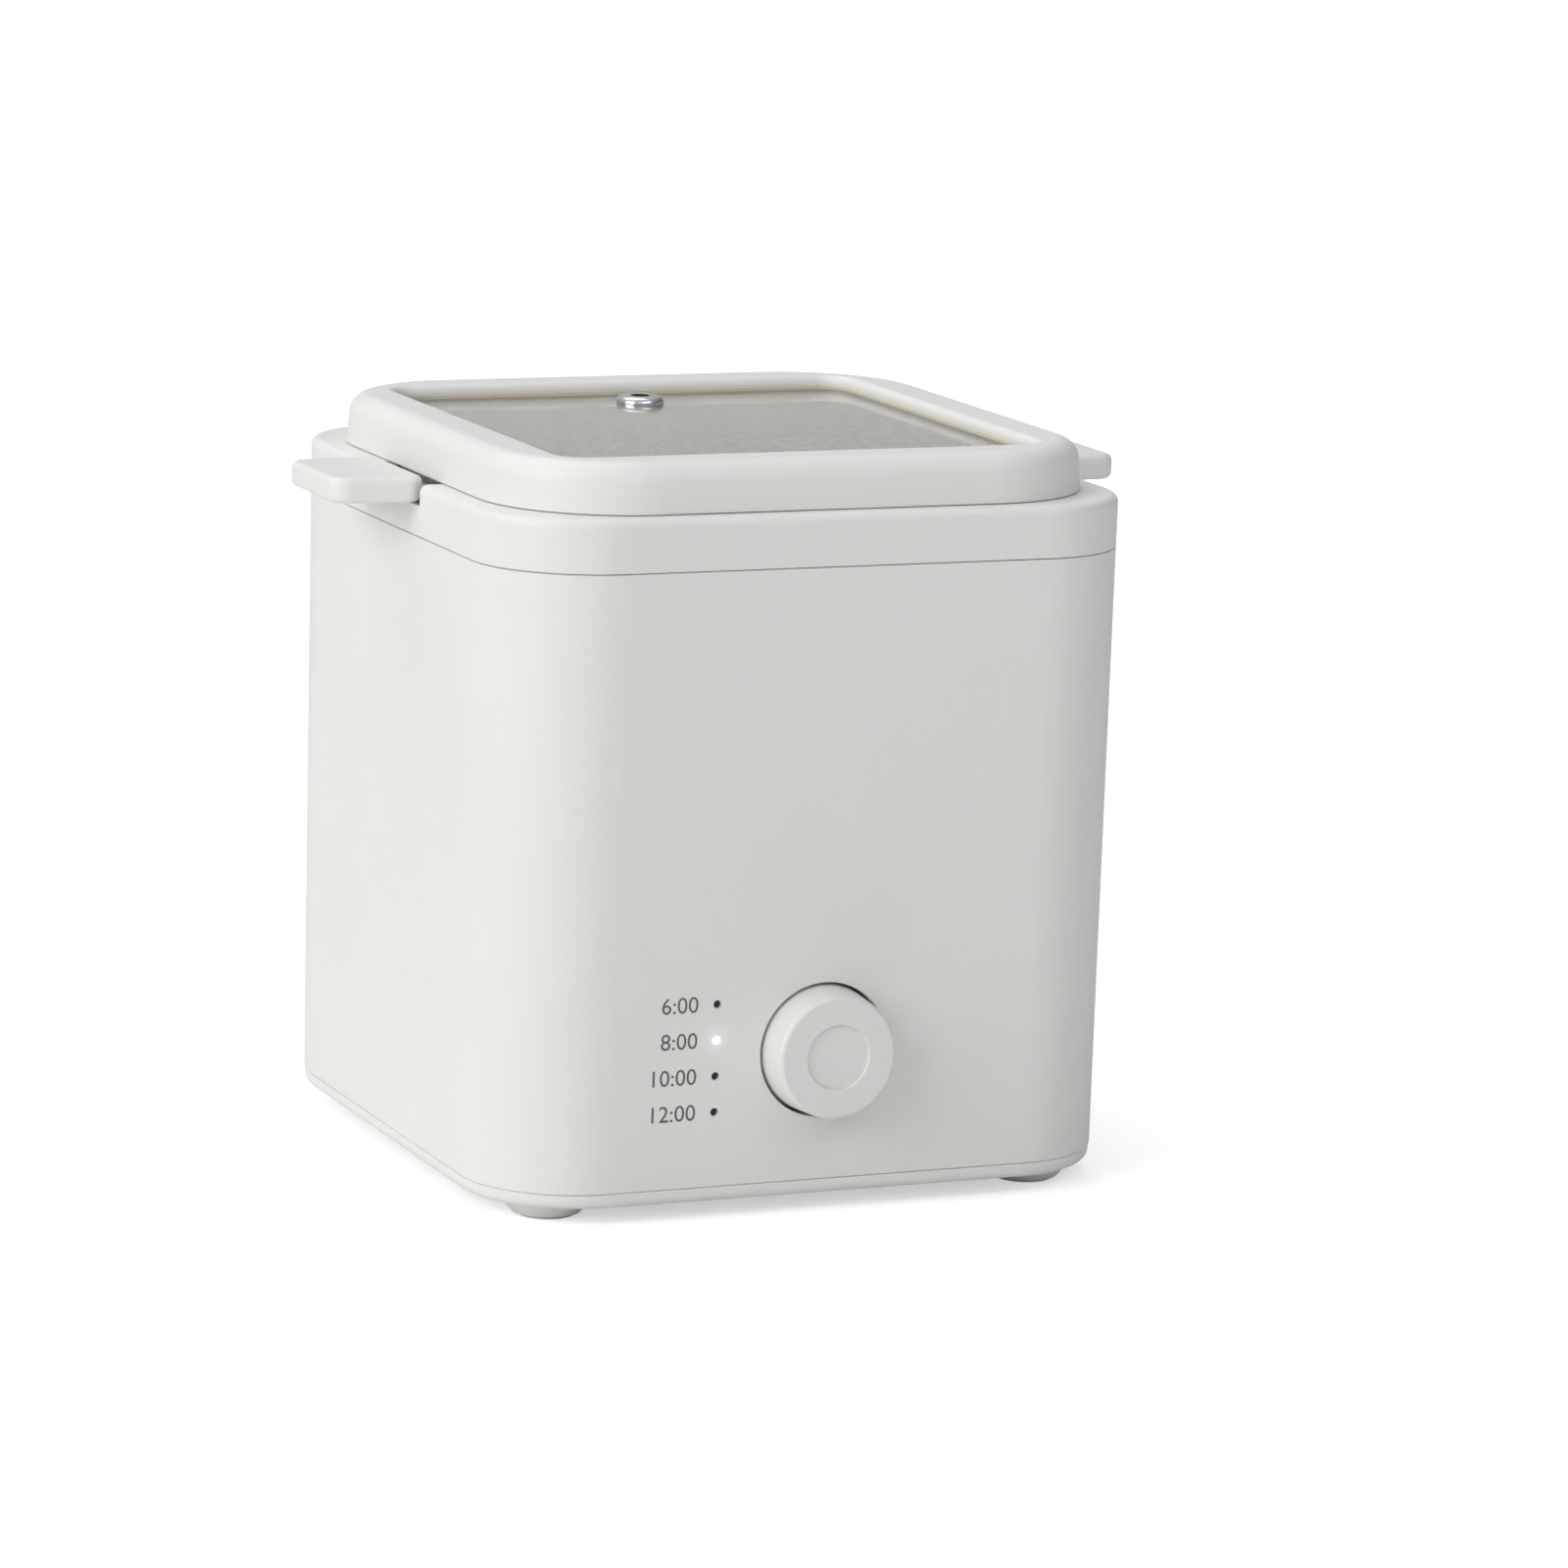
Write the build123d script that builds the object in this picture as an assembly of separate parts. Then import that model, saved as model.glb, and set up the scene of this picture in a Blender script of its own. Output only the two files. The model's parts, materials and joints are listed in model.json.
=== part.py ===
from build123d import *
import math
import os

# Electric egg cooker: a square body with a lift-out pot, an egg rack and a glass lid.
# Millimetres. +Z is up, the knob looks along -Y, and the feet stand on Z = 0.
# The pieces are modelled round the body's upright centre line and shifted along Y
# at the end, so that the origin is under the middle of the whole object.

# Body
body_width = 130.0
body_height = 130.0
corner_radius = 22.0
wall_draft = 0.32
body_wall = 2.6
ring_height = 10.0
ring_plug_wall = 2.2
ring_plug_depth = 7.5
ring_plate_thick = 3.8
rim_round = 1.6
seam_gap = 0.16
seam_round = 0.25
slip_gap = 0.25

# Base and feet
foot_drop = 3.5
foot_top_radius = 9.2
foot_low_radius = 6.6
foot_inset = 15.5
pad_radius = 5.5
pad_thick = 1.4
pad_proud = 0.6
base_thick = 2.9
base_round = 1.8
base_plug_wall = 1.8
base_plug_depth = 4.5
vent_slot_width = 2.4
vent_slot_length = 30.0
vent_slot_pitch = 6.0
vent_slot_count = 7
screw_boss_radius = 4.5
screw_boss_height = 15.0
boss_web = 1.6

# Screws: shank and head radii, head height, and how far they bite
screw_radius = 1.5
screw_head_radius = 2.9
screw_head_high = 1.4
small_screw_radius = 1.2
small_head_radius = 2.2
small_head_high = 1.2
screw_gap = 0.1
head_recess = 0.2
screw_tip_gap = 2.0
ring_screw_grip = 7.4
board_screw_grip = 6.0
sensor_screw_grip = 3.0
ear_screw_grip = 0.6

# Pot
pot_inset = 13.0
pot_radius = 16.0
pot_wall = 0.8
pot_foot_round = 8.0
pot_flange = 6.0
flange_drop = 0.3
flange_gap = 0.5

# Ears and their steel brackets
ear_width = 29.6
ear_tip_width = 27.0
ear_proud = 16.6
ear_thick = 4.9
ear_above_rim = 1.3
ear_corner = 4.0
ear_heel_corner = 4.0
ear_edge_round = 1.3
ear_lid_gap = 2.6
ear_notch_gap = 0.5
bracket_width = 25.0
bracket_thick = 1.2
bracket_tip_inset = 6.0
bracket_corner = 3.0
ear_screw_inset = 10.5
ear_screw_spread = 14.0

# Lid
lid_inset = 4.5
lid_radius = 26.0
lid_draft = 4.5
lid_top_over_rim = 9.6
lid_gap = 0.2
lid_round = 4.0
lid_wall = 2.4
lid_border = 12.0
lid_window_radius = 5.0
lid_lip_thick = 2.2
lid_window_round = 1.7
gasket_thick = 0.5
gasket_lap = 3.6
glass_thick = 3.2
glass_lap = 3.1
glass_radius = 8.0
glass_edge_round = 0.4
glass_gap = 0.4
pocket_corner_gap = 1.4
inner_ring_lap = 2.0
plug_wall = 1.6
plug_drop = 2.8
plug_gap = 0.6
lid_screw_offset = 30.0
lid_screw_grip = 3.0
lid_screw_tip_gap = 0.5

# Steam vent
vent_inset = 12.5
vent_hole_radius = 3.1
vent_tube_radius = 2.9
vent_bore_radius = 1.9
vent_flange_radius = 4.8
vent_flange_thick = 1.5
vent_flange_round = 1.3
vent_foot_radius = 4.3
vent_foot_thick = 0.8

# Egg rack
rack_height = 12.0
rack_thick = 0.8
rack_gap = 1.7
rack_skirt = 4.0
seat_margin = 9.0
seat_bridge = 13.0
rack_leg_radius = 1.8
rack_leg_gap = 1.2
stem_radius = 2.0
stem_height = 50.0
stem_knob_radius = 7.0
stem_knob_thick = 7.0
stem_knob_round = 2.4
stem_knob_low_round = 1.4
stem_foot_radius = 5.0
stem_foot_thick = 1.2
steam_hole_radius = 1.8
steam_hole_ring = 11.0
steam_hole_count = 6
steam_hole_turn = 30.0

# Inner well, heating plate and what is under it
well_gap = 1.4
well_wall = 0.8
well_foot_round = 5.0
well_flange = 4.5
skirt_gap = 0.6
skirt_wall = 2.0
skirt_depth = 8.0
plate_height = 53.7
plate_margin = 6.0
plate_thick = 5.0
plate_edge_round = 0.8
plate_hole_lap = 6.0
plate_screw_count = 3
plate_screw_grip = 3.0
plate_hole_skin = 1.0
element_ring_radius = 30.0
element_radius = 3.3
element_arc = 300.0
element_leg = 6.0
terminal_radius = 2.2
terminal_length = 4.0
blade_width = 4.0
blade_thick = 0.8
blade_length = 5.0
sensor_radius = 4.5
sensor_gap = 0.3
sensor_flange_radius = 7.0
sensor_flange_thick = 1.4
sensor_can_length = 8.0
sensor_bar_length = 40.0
sensor_bar_width = 13.0
sensor_bar_thick = 0.8
sensor_bar_step = 1.0
sensor_screw_inset = 4.0
thermostat_radius = 7.5
thermostat_high = 9.0
thermostat_offset = 15.5
thermostat_tag_spread = 8.0
thermostat_tag_width = 3.0
fuse_radius = 2.2
fuse_length = 14.0
fuse_clip_wall = 0.6
fuse_clip_length = 5.0
post_radius = 4.0
post_board_gap = 2.0
post_y = 22.0

# Knob, encoder and indicator lights
knob_height = 28.0
knob_hole_radius = 12.95
knob_hole_round = 0.25
knob_base_radius = 12.65
knob_face_radius = 11.8
knob_proud = 7.0
knob_length = 12.0
knob_edge_round = 0.9
knob_dish_radius = 6.2
knob_dish_depth = 0.6
knob_dish_round = 0.25
knob_wall = 1.9
knob_face_thick = 2.2
knob_boss_radius = 4.8
knob_boss_gap = 0.6
knob_press = 0.8
knob_floor_gap = 0.7
collar_wall = 1.6
collar_floor = 1.5
encoder_width = 12.4
encoder_high = 13.0
encoder_front_wall = 1.0
encoder_back_wall = 0.7
bushing_radius = 3.5
bushing_length = 4.1
shaft_radius = 3.0
shaft_flat = 1.6
shaft_tip_gap = 0.3
shaft_end_gap = 0.9
shaft_fit = 0.02
running_gap = 0.05
rotor_radius = 4.6
rotor_thick = 2.5
rotor_end_gap = 0.3
nut_across = 10.0
nut_thick = 2.0
light_offset = 22.0
light_pitch = 6.9
light_count = 4
light_lit = 1
light_hole_radius = 0.8
light_pin_radius = 0.65
light_pin_recess = 0.7
light_top_above_knob = 10.1
holder_width = 5.0
holder_margin = 2.6
holder_wall_gap = 0.4
chip_size = 1.8
chip_high = 0.9

# Boards and inlet
board_thick = 1.6
control_board_width = 68.0
control_board_high = 40.0
control_board_low = 10.0
board_post_radius = 3.0
board_post_inset = 4.5
power_board_side_inset = 26.0
power_board_front_inset = 33.0
power_board_rear_inset = 27.0
standoff_high = 7.0
standoff_inset = 4.0
inlet_height = 21.0
inlet_width = 20.0
inlet_high = 11.0
inlet_depth = 17.0
inlet_flange = 2.0
inlet_flange_thick = 1.4
inlet_corner = 2.0
inlet_recess = 1.0
inlet_mouth_width = 16.0
inlet_mouth_high = 8.0
inlet_mouth_depth = 12.5
inlet_pin_radius = 1.2
inlet_pin_spread = 8.6
inlet_pin_length = 10.5
inlet_pin_tail = 3.0
ribbon_width = 16.0
ribbon_thick = 1.0
ribbon_above_edge = 7.0
ribbon_inset = 1.5
lead_radius = 1.0
lead_bend = 3.0
lead_crossing_gap = 0.9
sensor_lead_drop = 9.0
sensor_lead_back = 14.0
tag_radius = 1.3
tag_depth = 3.0
terminal_block_from_side = 15.0
terminal_block_from_rear = 17.5
terminal_block_depth = 10.0
terminal_block_high = 8.0
terminal_pitch = 8.0
terminal_row = 5.0
capacitor_radius = 5.0
capacitor_high = 16.0
capacitor_spread = 12.0
capacitor_from_front = 10.0
relay_width = 15.5
relay_depth = 19.0
relay_high = 15.5
relay_from_side = 17.0
relay_from_front = 26.0
film_width = 18.0
film_depth = 8.0
film_high = 11.0
film_from_middle = 2.0
film_from_rear = 5.0
case_round = 0.8
core_width = 18.0
core_depth = 16.0
core_high = 15.0
winding_width = 12.0
winding_depth = 20.0
winding_high = 11.0
transformer_from_front = 28.0
transformer_from_fuse = 12.5
line_fuse_radius = 2.6
line_fuse_length = 20.0
line_fuse_high = 4.0
line_fuse_from_side = 13.0
line_fuse_from_rear = 6.0
fuse_holder_width = 6.0
fuse_holder_thick = 2.0
fuse_holder_inset = 1.5

# Heights and places that follow from the sizes above
base_low = foot_drop
rim = base_low + body_height
seam = rim - ring_height
base_seam = base_low + base_thick
housing_low = base_seam + seam_gap / 2
housing_top = seam - seam_gap / 2
ring_low = seam + seam_gap / 2
ring_plug_low = ring_low - ring_plug_depth
ring_plug_inset = body_wall + slip_gap
ring_inner_inset = ring_plug_inset + ring_plug_wall
ring_plate_low = rim - ring_plate_thick
foot_place = body_width / 2 - foot_inset
lug_top = ring_plug_low - 2 * seam_gap

pot_half = body_width / 2 - pot_inset
flange_top = rim - flange_drop
flange_low = flange_top - pot_wall
flange_half = pot_half + pot_flange
pot_under = base_low + plate_height
pot_floor = pot_under + pot_wall
ledge = flange_low - flange_gap
recess_half = flange_half + flange_gap
recess_radius = pot_radius + pot_flange + flange_gap

well_half = pot_half + well_gap + well_wall
well_radius = pot_radius + well_gap + well_wall
skirt_half = well_half + skirt_gap
skirt_radius = well_radius + skirt_gap
skirt_low = ring_plate_low - skirt_depth
ring_boss_radius = screw_radius + skirt_wall
well_top = skirt_low
plate_under = pot_under - plate_thick
well_under = plate_under - well_wall
plate_radius = pot_half - plate_margin
sensor_low = plate_under - sensor_can_length + plate_thick
sensor_flange_low = plate_under - sensor_flange_thick
sensor_bar_low = sensor_flange_low - sensor_bar_thick

rack_half = pot_half - pot_wall - rack_gap
rack_radius = pot_radius - pot_wall - rack_gap
rack_low = pot_floor + rack_height
rack_top = rack_low + rack_thick
seat_radius = (rack_half - seat_margin - seat_bridge / 2) / 2
seat_offset = seat_bridge / 2 + seat_radius

ear_root = body_width / 2
ear_tip = ear_root + ear_proud
ear_top = rim + ear_above_rim
ear_low = ear_top - ear_thick
notch_half = ear_width / 2 + ear_notch_gap
notch_floor = ear_low - ear_notch_gap
bracket_top = flange_low
bracket_low = bracket_top - bracket_thick
bracket_tip = ear_tip - bracket_tip_inset
ear_screw_x = ear_tip - ear_screw_inset

lid_half = body_width / 2 - lid_inset
ear_heel = lid_half + ear_lid_gap
lid_top = rim + lid_top_over_rim
lid_low = rim + lid_gap
lip_low = lid_top - lid_lip_thick
glass_top = lip_low - gasket_thick
glass_low = glass_top - glass_thick
window_half = lid_half - lid_border
vent_y = window_half - vent_inset
glass_half = window_half + glass_lap
gasket_half = window_half + gasket_lap
pocket_half = gasket_half + glass_gap
lid_inner_half = lid_half - lid_wall
inner_ring_half = lid_inner_half - slip_gap
inner_ring_window = window_half - inner_ring_lap
plug_half = pot_half - pot_wall - plug_gap
plug_low = flange_top - plug_drop
lid_screw_line = (pocket_half + lid_inner_half) / 2

knob_z = base_low + knob_height


def body_half(z):
    """Half the body's width at a height: the walls lean in a little towards the base."""
    return body_width / 2 - math.tan(math.radians(wall_draft)) * (rim - z)


front = -body_half(knob_z)
front_inside = front + body_wall
knob_face = front - knob_proud
knob_back = knob_face + knob_length
collar_front = knob_back + knob_press + knob_floor_gap
collar_back = collar_front + collar_floor
bushing_tip = collar_back - bushing_length
knob_boss_end = bushing_tip - knob_press - knob_boss_gap
rotor_front = collar_back + encoder_front_wall + rotor_end_gap
rotor_back = rotor_front + rotor_thick
shaft_tip = knob_face + knob_face_thick + shaft_tip_gap
shaft_back = rotor_back + rotor_end_gap
chamber_back = shaft_back + knob_press + shaft_end_gap
encoder_back = chamber_back + encoder_back_wall
control_board_back = encoder_back + board_thick
board_post_x = control_board_width / 2 - board_post_inset
board_post_low = control_board_low + board_post_inset
board_post_high = control_board_low + control_board_high - board_post_inset
light_heights = [
    knob_z + light_top_above_knob - light_pitch * i for i in range(light_count)
]

power_board_low = base_seam + standoff_high
power_board_top = power_board_low + board_thick
power_board_half = body_width / 2 - power_board_side_inset
power_board_front = -body_width / 2 + power_board_front_inset
power_board_rear = body_width / 2 - power_board_rear_inset
post_x = power_board_half + post_radius + post_board_gap
terminal_block_x = -power_board_half + terminal_block_from_side
terminal_block_y = power_board_rear - terminal_block_from_rear
capacitor_y = power_board_front + capacitor_from_front
line_fuse_x = power_board_half - line_fuse_from_side
lead_step = 2 * lead_radius + lead_crossing_gap
upper_heater_lead = power_board_top + film_high + lead_crossing_gap + lead_radius
heater_lead_heights = (upper_heater_lead - lead_step, upper_heater_lead)
inlet_z = base_low + inlet_height
back = body_half(inlet_z)
inlet_face = back - inlet_recess + inlet_flange_thick
inlet_end = inlet_face - inlet_depth
element_z = plate_under - element_radius
element_leg_low = element_z - element_leg
terminal_low = element_leg_low - terminal_length
blade_low = terminal_low - blade_length
element_end_x = element_ring_radius * math.sin(math.radians(180 - element_arc / 2))
element_end_y = element_ring_radius * math.cos(math.radians(180 - element_arc / 2))

# The knob stands out in front, so the middle of the whole object is not the body's middle
front_shift = (-knob_face - body_width / 2) / 2


# Plain shapes

def slab(half, radius, low, high):
    """Upright square slab with rounded corners, the same width all the way up."""
    plan = Plane.XY.offset(low) * RectangleRounded(2 * half, 2 * half, radius)
    return extrude(plan, high - low)


def body_slab(inset, low, high):
    """Slice of the body's leaning outer form, drawn in by an inset."""
    half = body_half(high) - inset
    down = Plane(origin=(0, 0, high), x_dir=(1, 0, 0), z_dir=(0, 0, -1))
    plan = down * RectangleRounded(2 * half, 2 * half, corner_radius - inset)
    return extrude(plan, high - low, taper=wall_draft)


def rod(radius, start, end):
    """Round bar from one point to another."""
    line = Vector(*end) - Vector(*start)
    return extrude(Plane(origin=start, z_dir=line) * Circle(radius), line.length)


def block(x_span, y_span, z_span):
    """Box between two values along each axis."""
    spans = (x_span, y_span, z_span)
    sizes = [high - low for low, high in spans]
    middle = [(high + low) / 2 for low, high in spans]
    return Pos(*middle) * Box(*sizes)


def four_corners(x, y):
    """The four points that lie x and y away from the centre line."""
    return [(side * x, end * y) for side in (-1, 1) for end in (-1, 1)]


def screw_of(sizes, x, y, low, length):
    """Upright screw with its head below and a cross recess in the head."""
    radius, head_radius, head = sizes
    turned = rod(head_radius, (x, y, low), (x, y, low + head))
    turned += rod(radius, (x, y, low + head / 2), (x, y, low + head + length))
    slot = 0.4 * radius
    for long_x, long_y in ((radius, slot), (slot, radius)):
        x_span = (x - long_x, x + long_x)
        y_span = (y - long_y, y + long_y)
        turned -= block(x_span, y_span, (low, low + head / 2))
    return turned


def screw(x, y, low, length):
    return screw_of((screw_radius, screw_head_radius, screw_head_high), x, y, low, length)


def small_screw(x, y, low, length):
    return screw_of((small_screw_radius, small_head_radius, small_head_high), x, y, low, length)


def low_edges(solid):
    return solid.faces().sort_by(Axis.Z)[0].edges()


def high_edges(solid):
    return solid.faces().sort_by(Axis.Z)[-1].edges()


def lead(points):
    """Insulated wire along straight runs joined by arcs."""
    path = FilletPolyline(*points, radius=lead_bend)
    start = path @ 0
    return sweep(Plane(origin=start, z_dir=path % 0) * Circle(lead_radius), path=path)


# Body

def housing_shell():
    shell = body_slab(0, housing_low, housing_top)
    shell = fillet(high_edges(shell) + low_edges(shell), seam_round)
    shell -= body_slab(body_wall, housing_low - 1, housing_top + 1)
    in_wall = front + body_wall / 2
    collar_radius = knob_hole_radius + collar_wall
    shell += rod(collar_radius, (0, in_wall, knob_z), (0, collar_back, knob_z))
    for x, z in board_post_places():
        shell += rod(board_post_radius, (x, in_wall, z), (x, encoder_back, z))
        pilot_end = encoder_back - board_screw_grip - screw_tip_gap
        shell -= rod(small_screw_radius, (x, pilot_end, z), (x, encoder_back, z))
    for x, y in four_corners(foot_place, foot_place):
        shell += screw_boss(x, y)
    for lug in ring_lugs():
        shell += lug
    shell -= rod(knob_hole_radius, (0, knob_face, knob_z), (0, collar_front, knob_z))
    rim_edge = shell.edges().filter_by(GeomType.ELLIPSE).sort_by(Axis.Y)[0]
    shell = fillet(rim_edge, knob_hole_round)
    bushing_hole = bushing_radius + screw_gap
    shell -= rod(bushing_hole, (0, collar_front - 1, knob_z), (0, collar_back + 1, knob_z))
    x = -light_offset
    for z in light_heights:
        shell -= rod(light_hole_radius, (x, front - 2, z), (x, front_inside + 1, z))
    shell -= inlet_block(slip_gap, inlet_face + 1, back - 2 * body_wall)
    shell -= inlet_block(inlet_flange + slip_gap, inlet_face + 1, back - inlet_recess)
    return shell


def board_post_places():
    heights = (board_post_low, board_post_high)
    return [(side * board_post_x, z) for side in (-1, 1) for z in heights]


def screw_boss(x, y):
    """Boss for a base screw, tied to the corner of the wall by a thin web."""
    top = housing_low + screw_boss_height
    boss = rod(screw_boss_radius, (x, y, housing_low), (x, y, top))
    web_low = base_seam + base_plug_depth + 2 * slip_gap
    web = block((0, corner_radius), (-boss_web / 2, boss_web / 2), (web_low, top))
    angle = math.degrees(math.atan2(y, x))
    boss += Pos(x, y, 0) * Rot(0, 0, angle) * web & body_slab(body_wall / 2, web_low, top)
    pilot = screw_radius + running_gap
    return boss - rod(pilot, (x, y, housing_low - 1), (x, y, top - screw_tip_gap))


def ring_screw_place():
    """How far along x and y a ring screw stands: between the skirt and the wall, on the diagonal."""
    turn = math.sqrt(0.5)
    skirt_half_out = skirt_half + skirt_wall
    skirt_reach = skirt_half_out - (skirt_radius + skirt_wall) * (1 - turn)
    wall_reach = body_half(seam) - ring_inner_inset
    wall_reach -= (corner_radius - ring_inner_inset) * (1 - turn)
    return (skirt_reach + wall_reach) / 2


def ring_lugs():
    """Corner plates that the ring's bosses stand on."""
    place = ring_screw_place()
    low = lug_top - body_wall
    plate = body_slab(body_wall / 2, low, lug_top)
    reach = body_width / 4
    for x, y in four_corners(place, place):
        angle = math.degrees(math.atan2(y, x))
        away = Pos(x, y, 0) * Rot(0, 0, angle)
        corner = plate & away * block((-screw_boss_radius, reach), (-reach, reach), (0, rim))
        corner -= rod(screw_radius + screw_gap, (x, y, low - 1), (x, y, lug_top + 1))
        yield corner


def top_ring():
    ring = body_slab(0, ring_low, rim)
    ring = fillet(high_edges(ring), rim_round)
    ring = fillet(low_edges(ring), seam_round)
    ring += body_slab(ring_plug_inset, ring_plug_low, ring_low + 1)
    skirt_out = skirt_half + skirt_wall
    skirt_out_radius = skirt_radius + skirt_wall
    hollow = body_slab(ring_inner_inset, ring_plug_low - 1, ring_plate_low)
    hollow -= slab(skirt_out, skirt_out_radius, ring_plug_low - 2, rim)
    ring -= hollow
    ring -= slab(skirt_out, skirt_out_radius, ring_plug_low - 1, skirt_low)
    tub_half = notch_half + skirt_wall
    tub_low = notch_floor - skirt_wall
    for side in (-1, 1):
        sides = (side * (skirt_half + skirt_wall / 4), side * (body_width / 2 - body_wall))
        ring += block(sorted(sides), (-tub_half, tub_half), (tub_low, ring_plate_low + 0.5))
    place = ring_screw_place()
    for x, y in four_corners(place, place):
        ring += rod(ring_boss_radius, (x, y, lug_top), (x, y, ring_plate_low + 1))
    ring -= slab(skirt_half, skirt_radius, lug_top - 1, rim + 1)
    ring -= slab(recess_half, recess_radius, ledge, rim + 1)
    for side in (-1, 1):
        sides = (side * (skirt_half - skirt_wall), side * (body_width / 2 + 1))
        ring -= block(sorted(sides), (-notch_half, notch_half), (notch_floor, rim + 1))
    pilot = screw_radius + running_gap
    for x, y in four_corners(place, place):
        ring -= rod(pilot, (x, y, lug_top - 1), (x, y, ring_plate_low - screw_tip_gap))
    return ring


def ring_screws():
    place = ring_screw_place()
    head_low = lug_top - body_wall - screw_head_high
    length = body_wall + ring_screw_grip
    return [screw(x, y, head_low, length) for x, y in four_corners(place, place)]


def base_cover():
    cover = body_slab(0, base_low, base_seam)
    cover = fillet(low_edges(cover), base_round)
    cover = fillet(high_edges(cover), seam_round)
    plug = body_slab(ring_plug_inset, base_seam - 0.5, base_seam + base_plug_depth)
    plug_inside = ring_plug_inset + base_plug_wall
    plug -= body_slab(plug_inside, base_seam - 1, base_seam + base_plug_depth + 1)
    cover += plug
    for x, y in standoff_places():
        cover += rod(board_post_radius, (x, y, base_seam - 1), (x, y, power_board_low))
        cover -= rod(small_screw_radius, (x, y, base_low + 1), (x, y, power_board_low + 1))
    plug_top = base_seam + base_plug_depth + 1
    for x, y in four_corners(foot_place, foot_place):
        cover -= rod(screw_radius + screw_gap, (x, y, base_low - 1), (x, y, base_seam + 1))
        cover -= rod(screw_boss_radius + slip_gap, (x, y, base_seam), (x, y, plug_top))
    half_row = (vent_slot_count - 1) / 2
    for i in range(vent_slot_count):
        x = (i - half_row) * vent_slot_pitch
        outline = SlotOverall(vent_slot_length, vent_slot_width, rotation=90)
        cover -= extrude(Pos(x, 0, base_low - 1) * outline, base_thick + 2)
    return cover


def standoff_places():
    across = power_board_half - standoff_inset
    rows = (power_board_front + standoff_inset, power_board_rear - standoff_inset)
    return [(side * across, y) for side in (-1, 1) for y in rows]


def feet():
    """Tapered feet, each with a pocket below for its pad and a seat for its screw's head."""
    made = []
    seat = pad_thick + screw_head_high
    high = base_low - pad_proud
    for x, y in four_corners(foot_place, foot_place):
        foot = Pos(x, y, pad_proud + high / 2) * Cone(foot_low_radius, foot_top_radius, high)
        foot -= rod(pad_radius + screw_gap, (x, y, 0), (x, y, pad_thick))
        foot -= rod(screw_head_radius + screw_gap, (x, y, 0), (x, y, seat))
        foot -= rod(screw_radius + screw_gap, (x, y, 0), (x, y, base_low + 1))
        made.append(foot)
    return made


def foot_pads():
    places = four_corners(foot_place, foot_place)
    return [rod(pad_radius, (x, y, 0), (x, y, pad_thick)) for x, y in places]


def base_screws():
    places = four_corners(foot_place, foot_place)
    tip = housing_low + screw_boss_height - screw_tip_gap
    length = tip - pad_thick - screw_head_high
    return [screw(x, y, pad_thick, length) for x, y in places]


# Well, plate and heater

def inner_well():
    well = slab(well_half, well_radius, well_under, well_top)
    well = fillet(low_edges(well), well_foot_round)
    inside = slab(well_half - well_wall, well_radius - well_wall, plate_under, well_top + 1)
    inside = fillet(low_edges(inside), well_foot_round - well_wall)
    well += slab(well_half + well_flange, well_radius + well_flange, well_top - well_wall, well_top)
    well -= inside
    well -= rod(plate_radius - plate_hole_lap, (0, 0, well_under - 1), (0, 0, plate_under + 1))
    place = ring_screw_place()
    for x, y in four_corners(place, place):
        well -= rod(ring_boss_radius + seam_gap, (x, y, well_top - 2), (x, y, well_top + 1))
    for x, y in plate_screw_places():
        well -= rod(screw_radius + screw_gap, (x, y, well_under - 1), (x, y, plate_under + 1))
    return well


def plate_screw_places():
    ring = plate_radius - plate_hole_lap / 2
    angles = [math.radians(90 + 360 * i / plate_screw_count) for i in range(plate_screw_count)]
    return [(ring * math.cos(a), ring * math.sin(a)) for a in angles]


def heating_plate():
    plate = rod(plate_radius, (0, 0, plate_under), (0, 0, pot_under))
    plate = fillet(high_edges(plate), plate_edge_round)
    plate -= rod(sensor_radius + slip_gap, (0, 0, plate_under - 1), (0, 0, pot_under + 1))
    top = pot_under - plate_hole_skin
    for x, y in plate_screw_places():
        plate -= rod(screw_radius + running_gap, (x, y, plate_under - 1), (x, y, top))
    for y in sensor_screw_places():
        plate -= rod(small_screw_radius + running_gap, (0, y, plate_under - 1), (0, y, top))
    return plate


def plate_screws():
    head_low = well_under - screw_head_high
    length = well_wall + plate_screw_grip
    return [screw(x, y, head_low, length) for x, y in plate_screw_places()]


def heating_element():
    """Tube bent to an open ring under the plate, with both ends turned down."""
    start = Plane(
        origin=(-element_end_x, element_end_y, element_z),
        z_dir=(-element_end_y, -element_end_x, 0),
    )
    ring = revolve(start * Circle(element_radius), Axis.Z, element_arc)
    for side in (-1, 1):
        x = side * element_end_x
        ring += Pos(x, element_end_y, element_z) * Sphere(element_radius)
        ring += rod(element_radius, (x, element_end_y, element_leg_low), (x, element_end_y, element_z))
    return ring


def element_terminals():
    """Ceramic bead and flat tag on each end of the element."""
    made = []
    for side in (-1, 1):
        x = side * element_end_x
        y = element_end_y
        bead = rod(terminal_radius, (x, y, terminal_low), (x, y, element_leg_low))
        x_span = (x - blade_width / 2, x + blade_width / 2)
        y_span = (y - blade_thick / 2, y + blade_thick / 2)
        made.append(bead + block(x_span, y_span, (blade_low, terminal_low)))
    return made


def temperature_sensor():
    sensor = rod(sensor_radius, (0, 0, sensor_low), (0, 0, pot_under - sensor_gap))
    sensor += rod(sensor_flange_radius, (0, 0, sensor_flange_low), (0, 0, plate_under))
    return sensor


def sensor_screw_places():
    place = sensor_bar_length / 2 - sensor_screw_inset
    return (-place, place)


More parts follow.
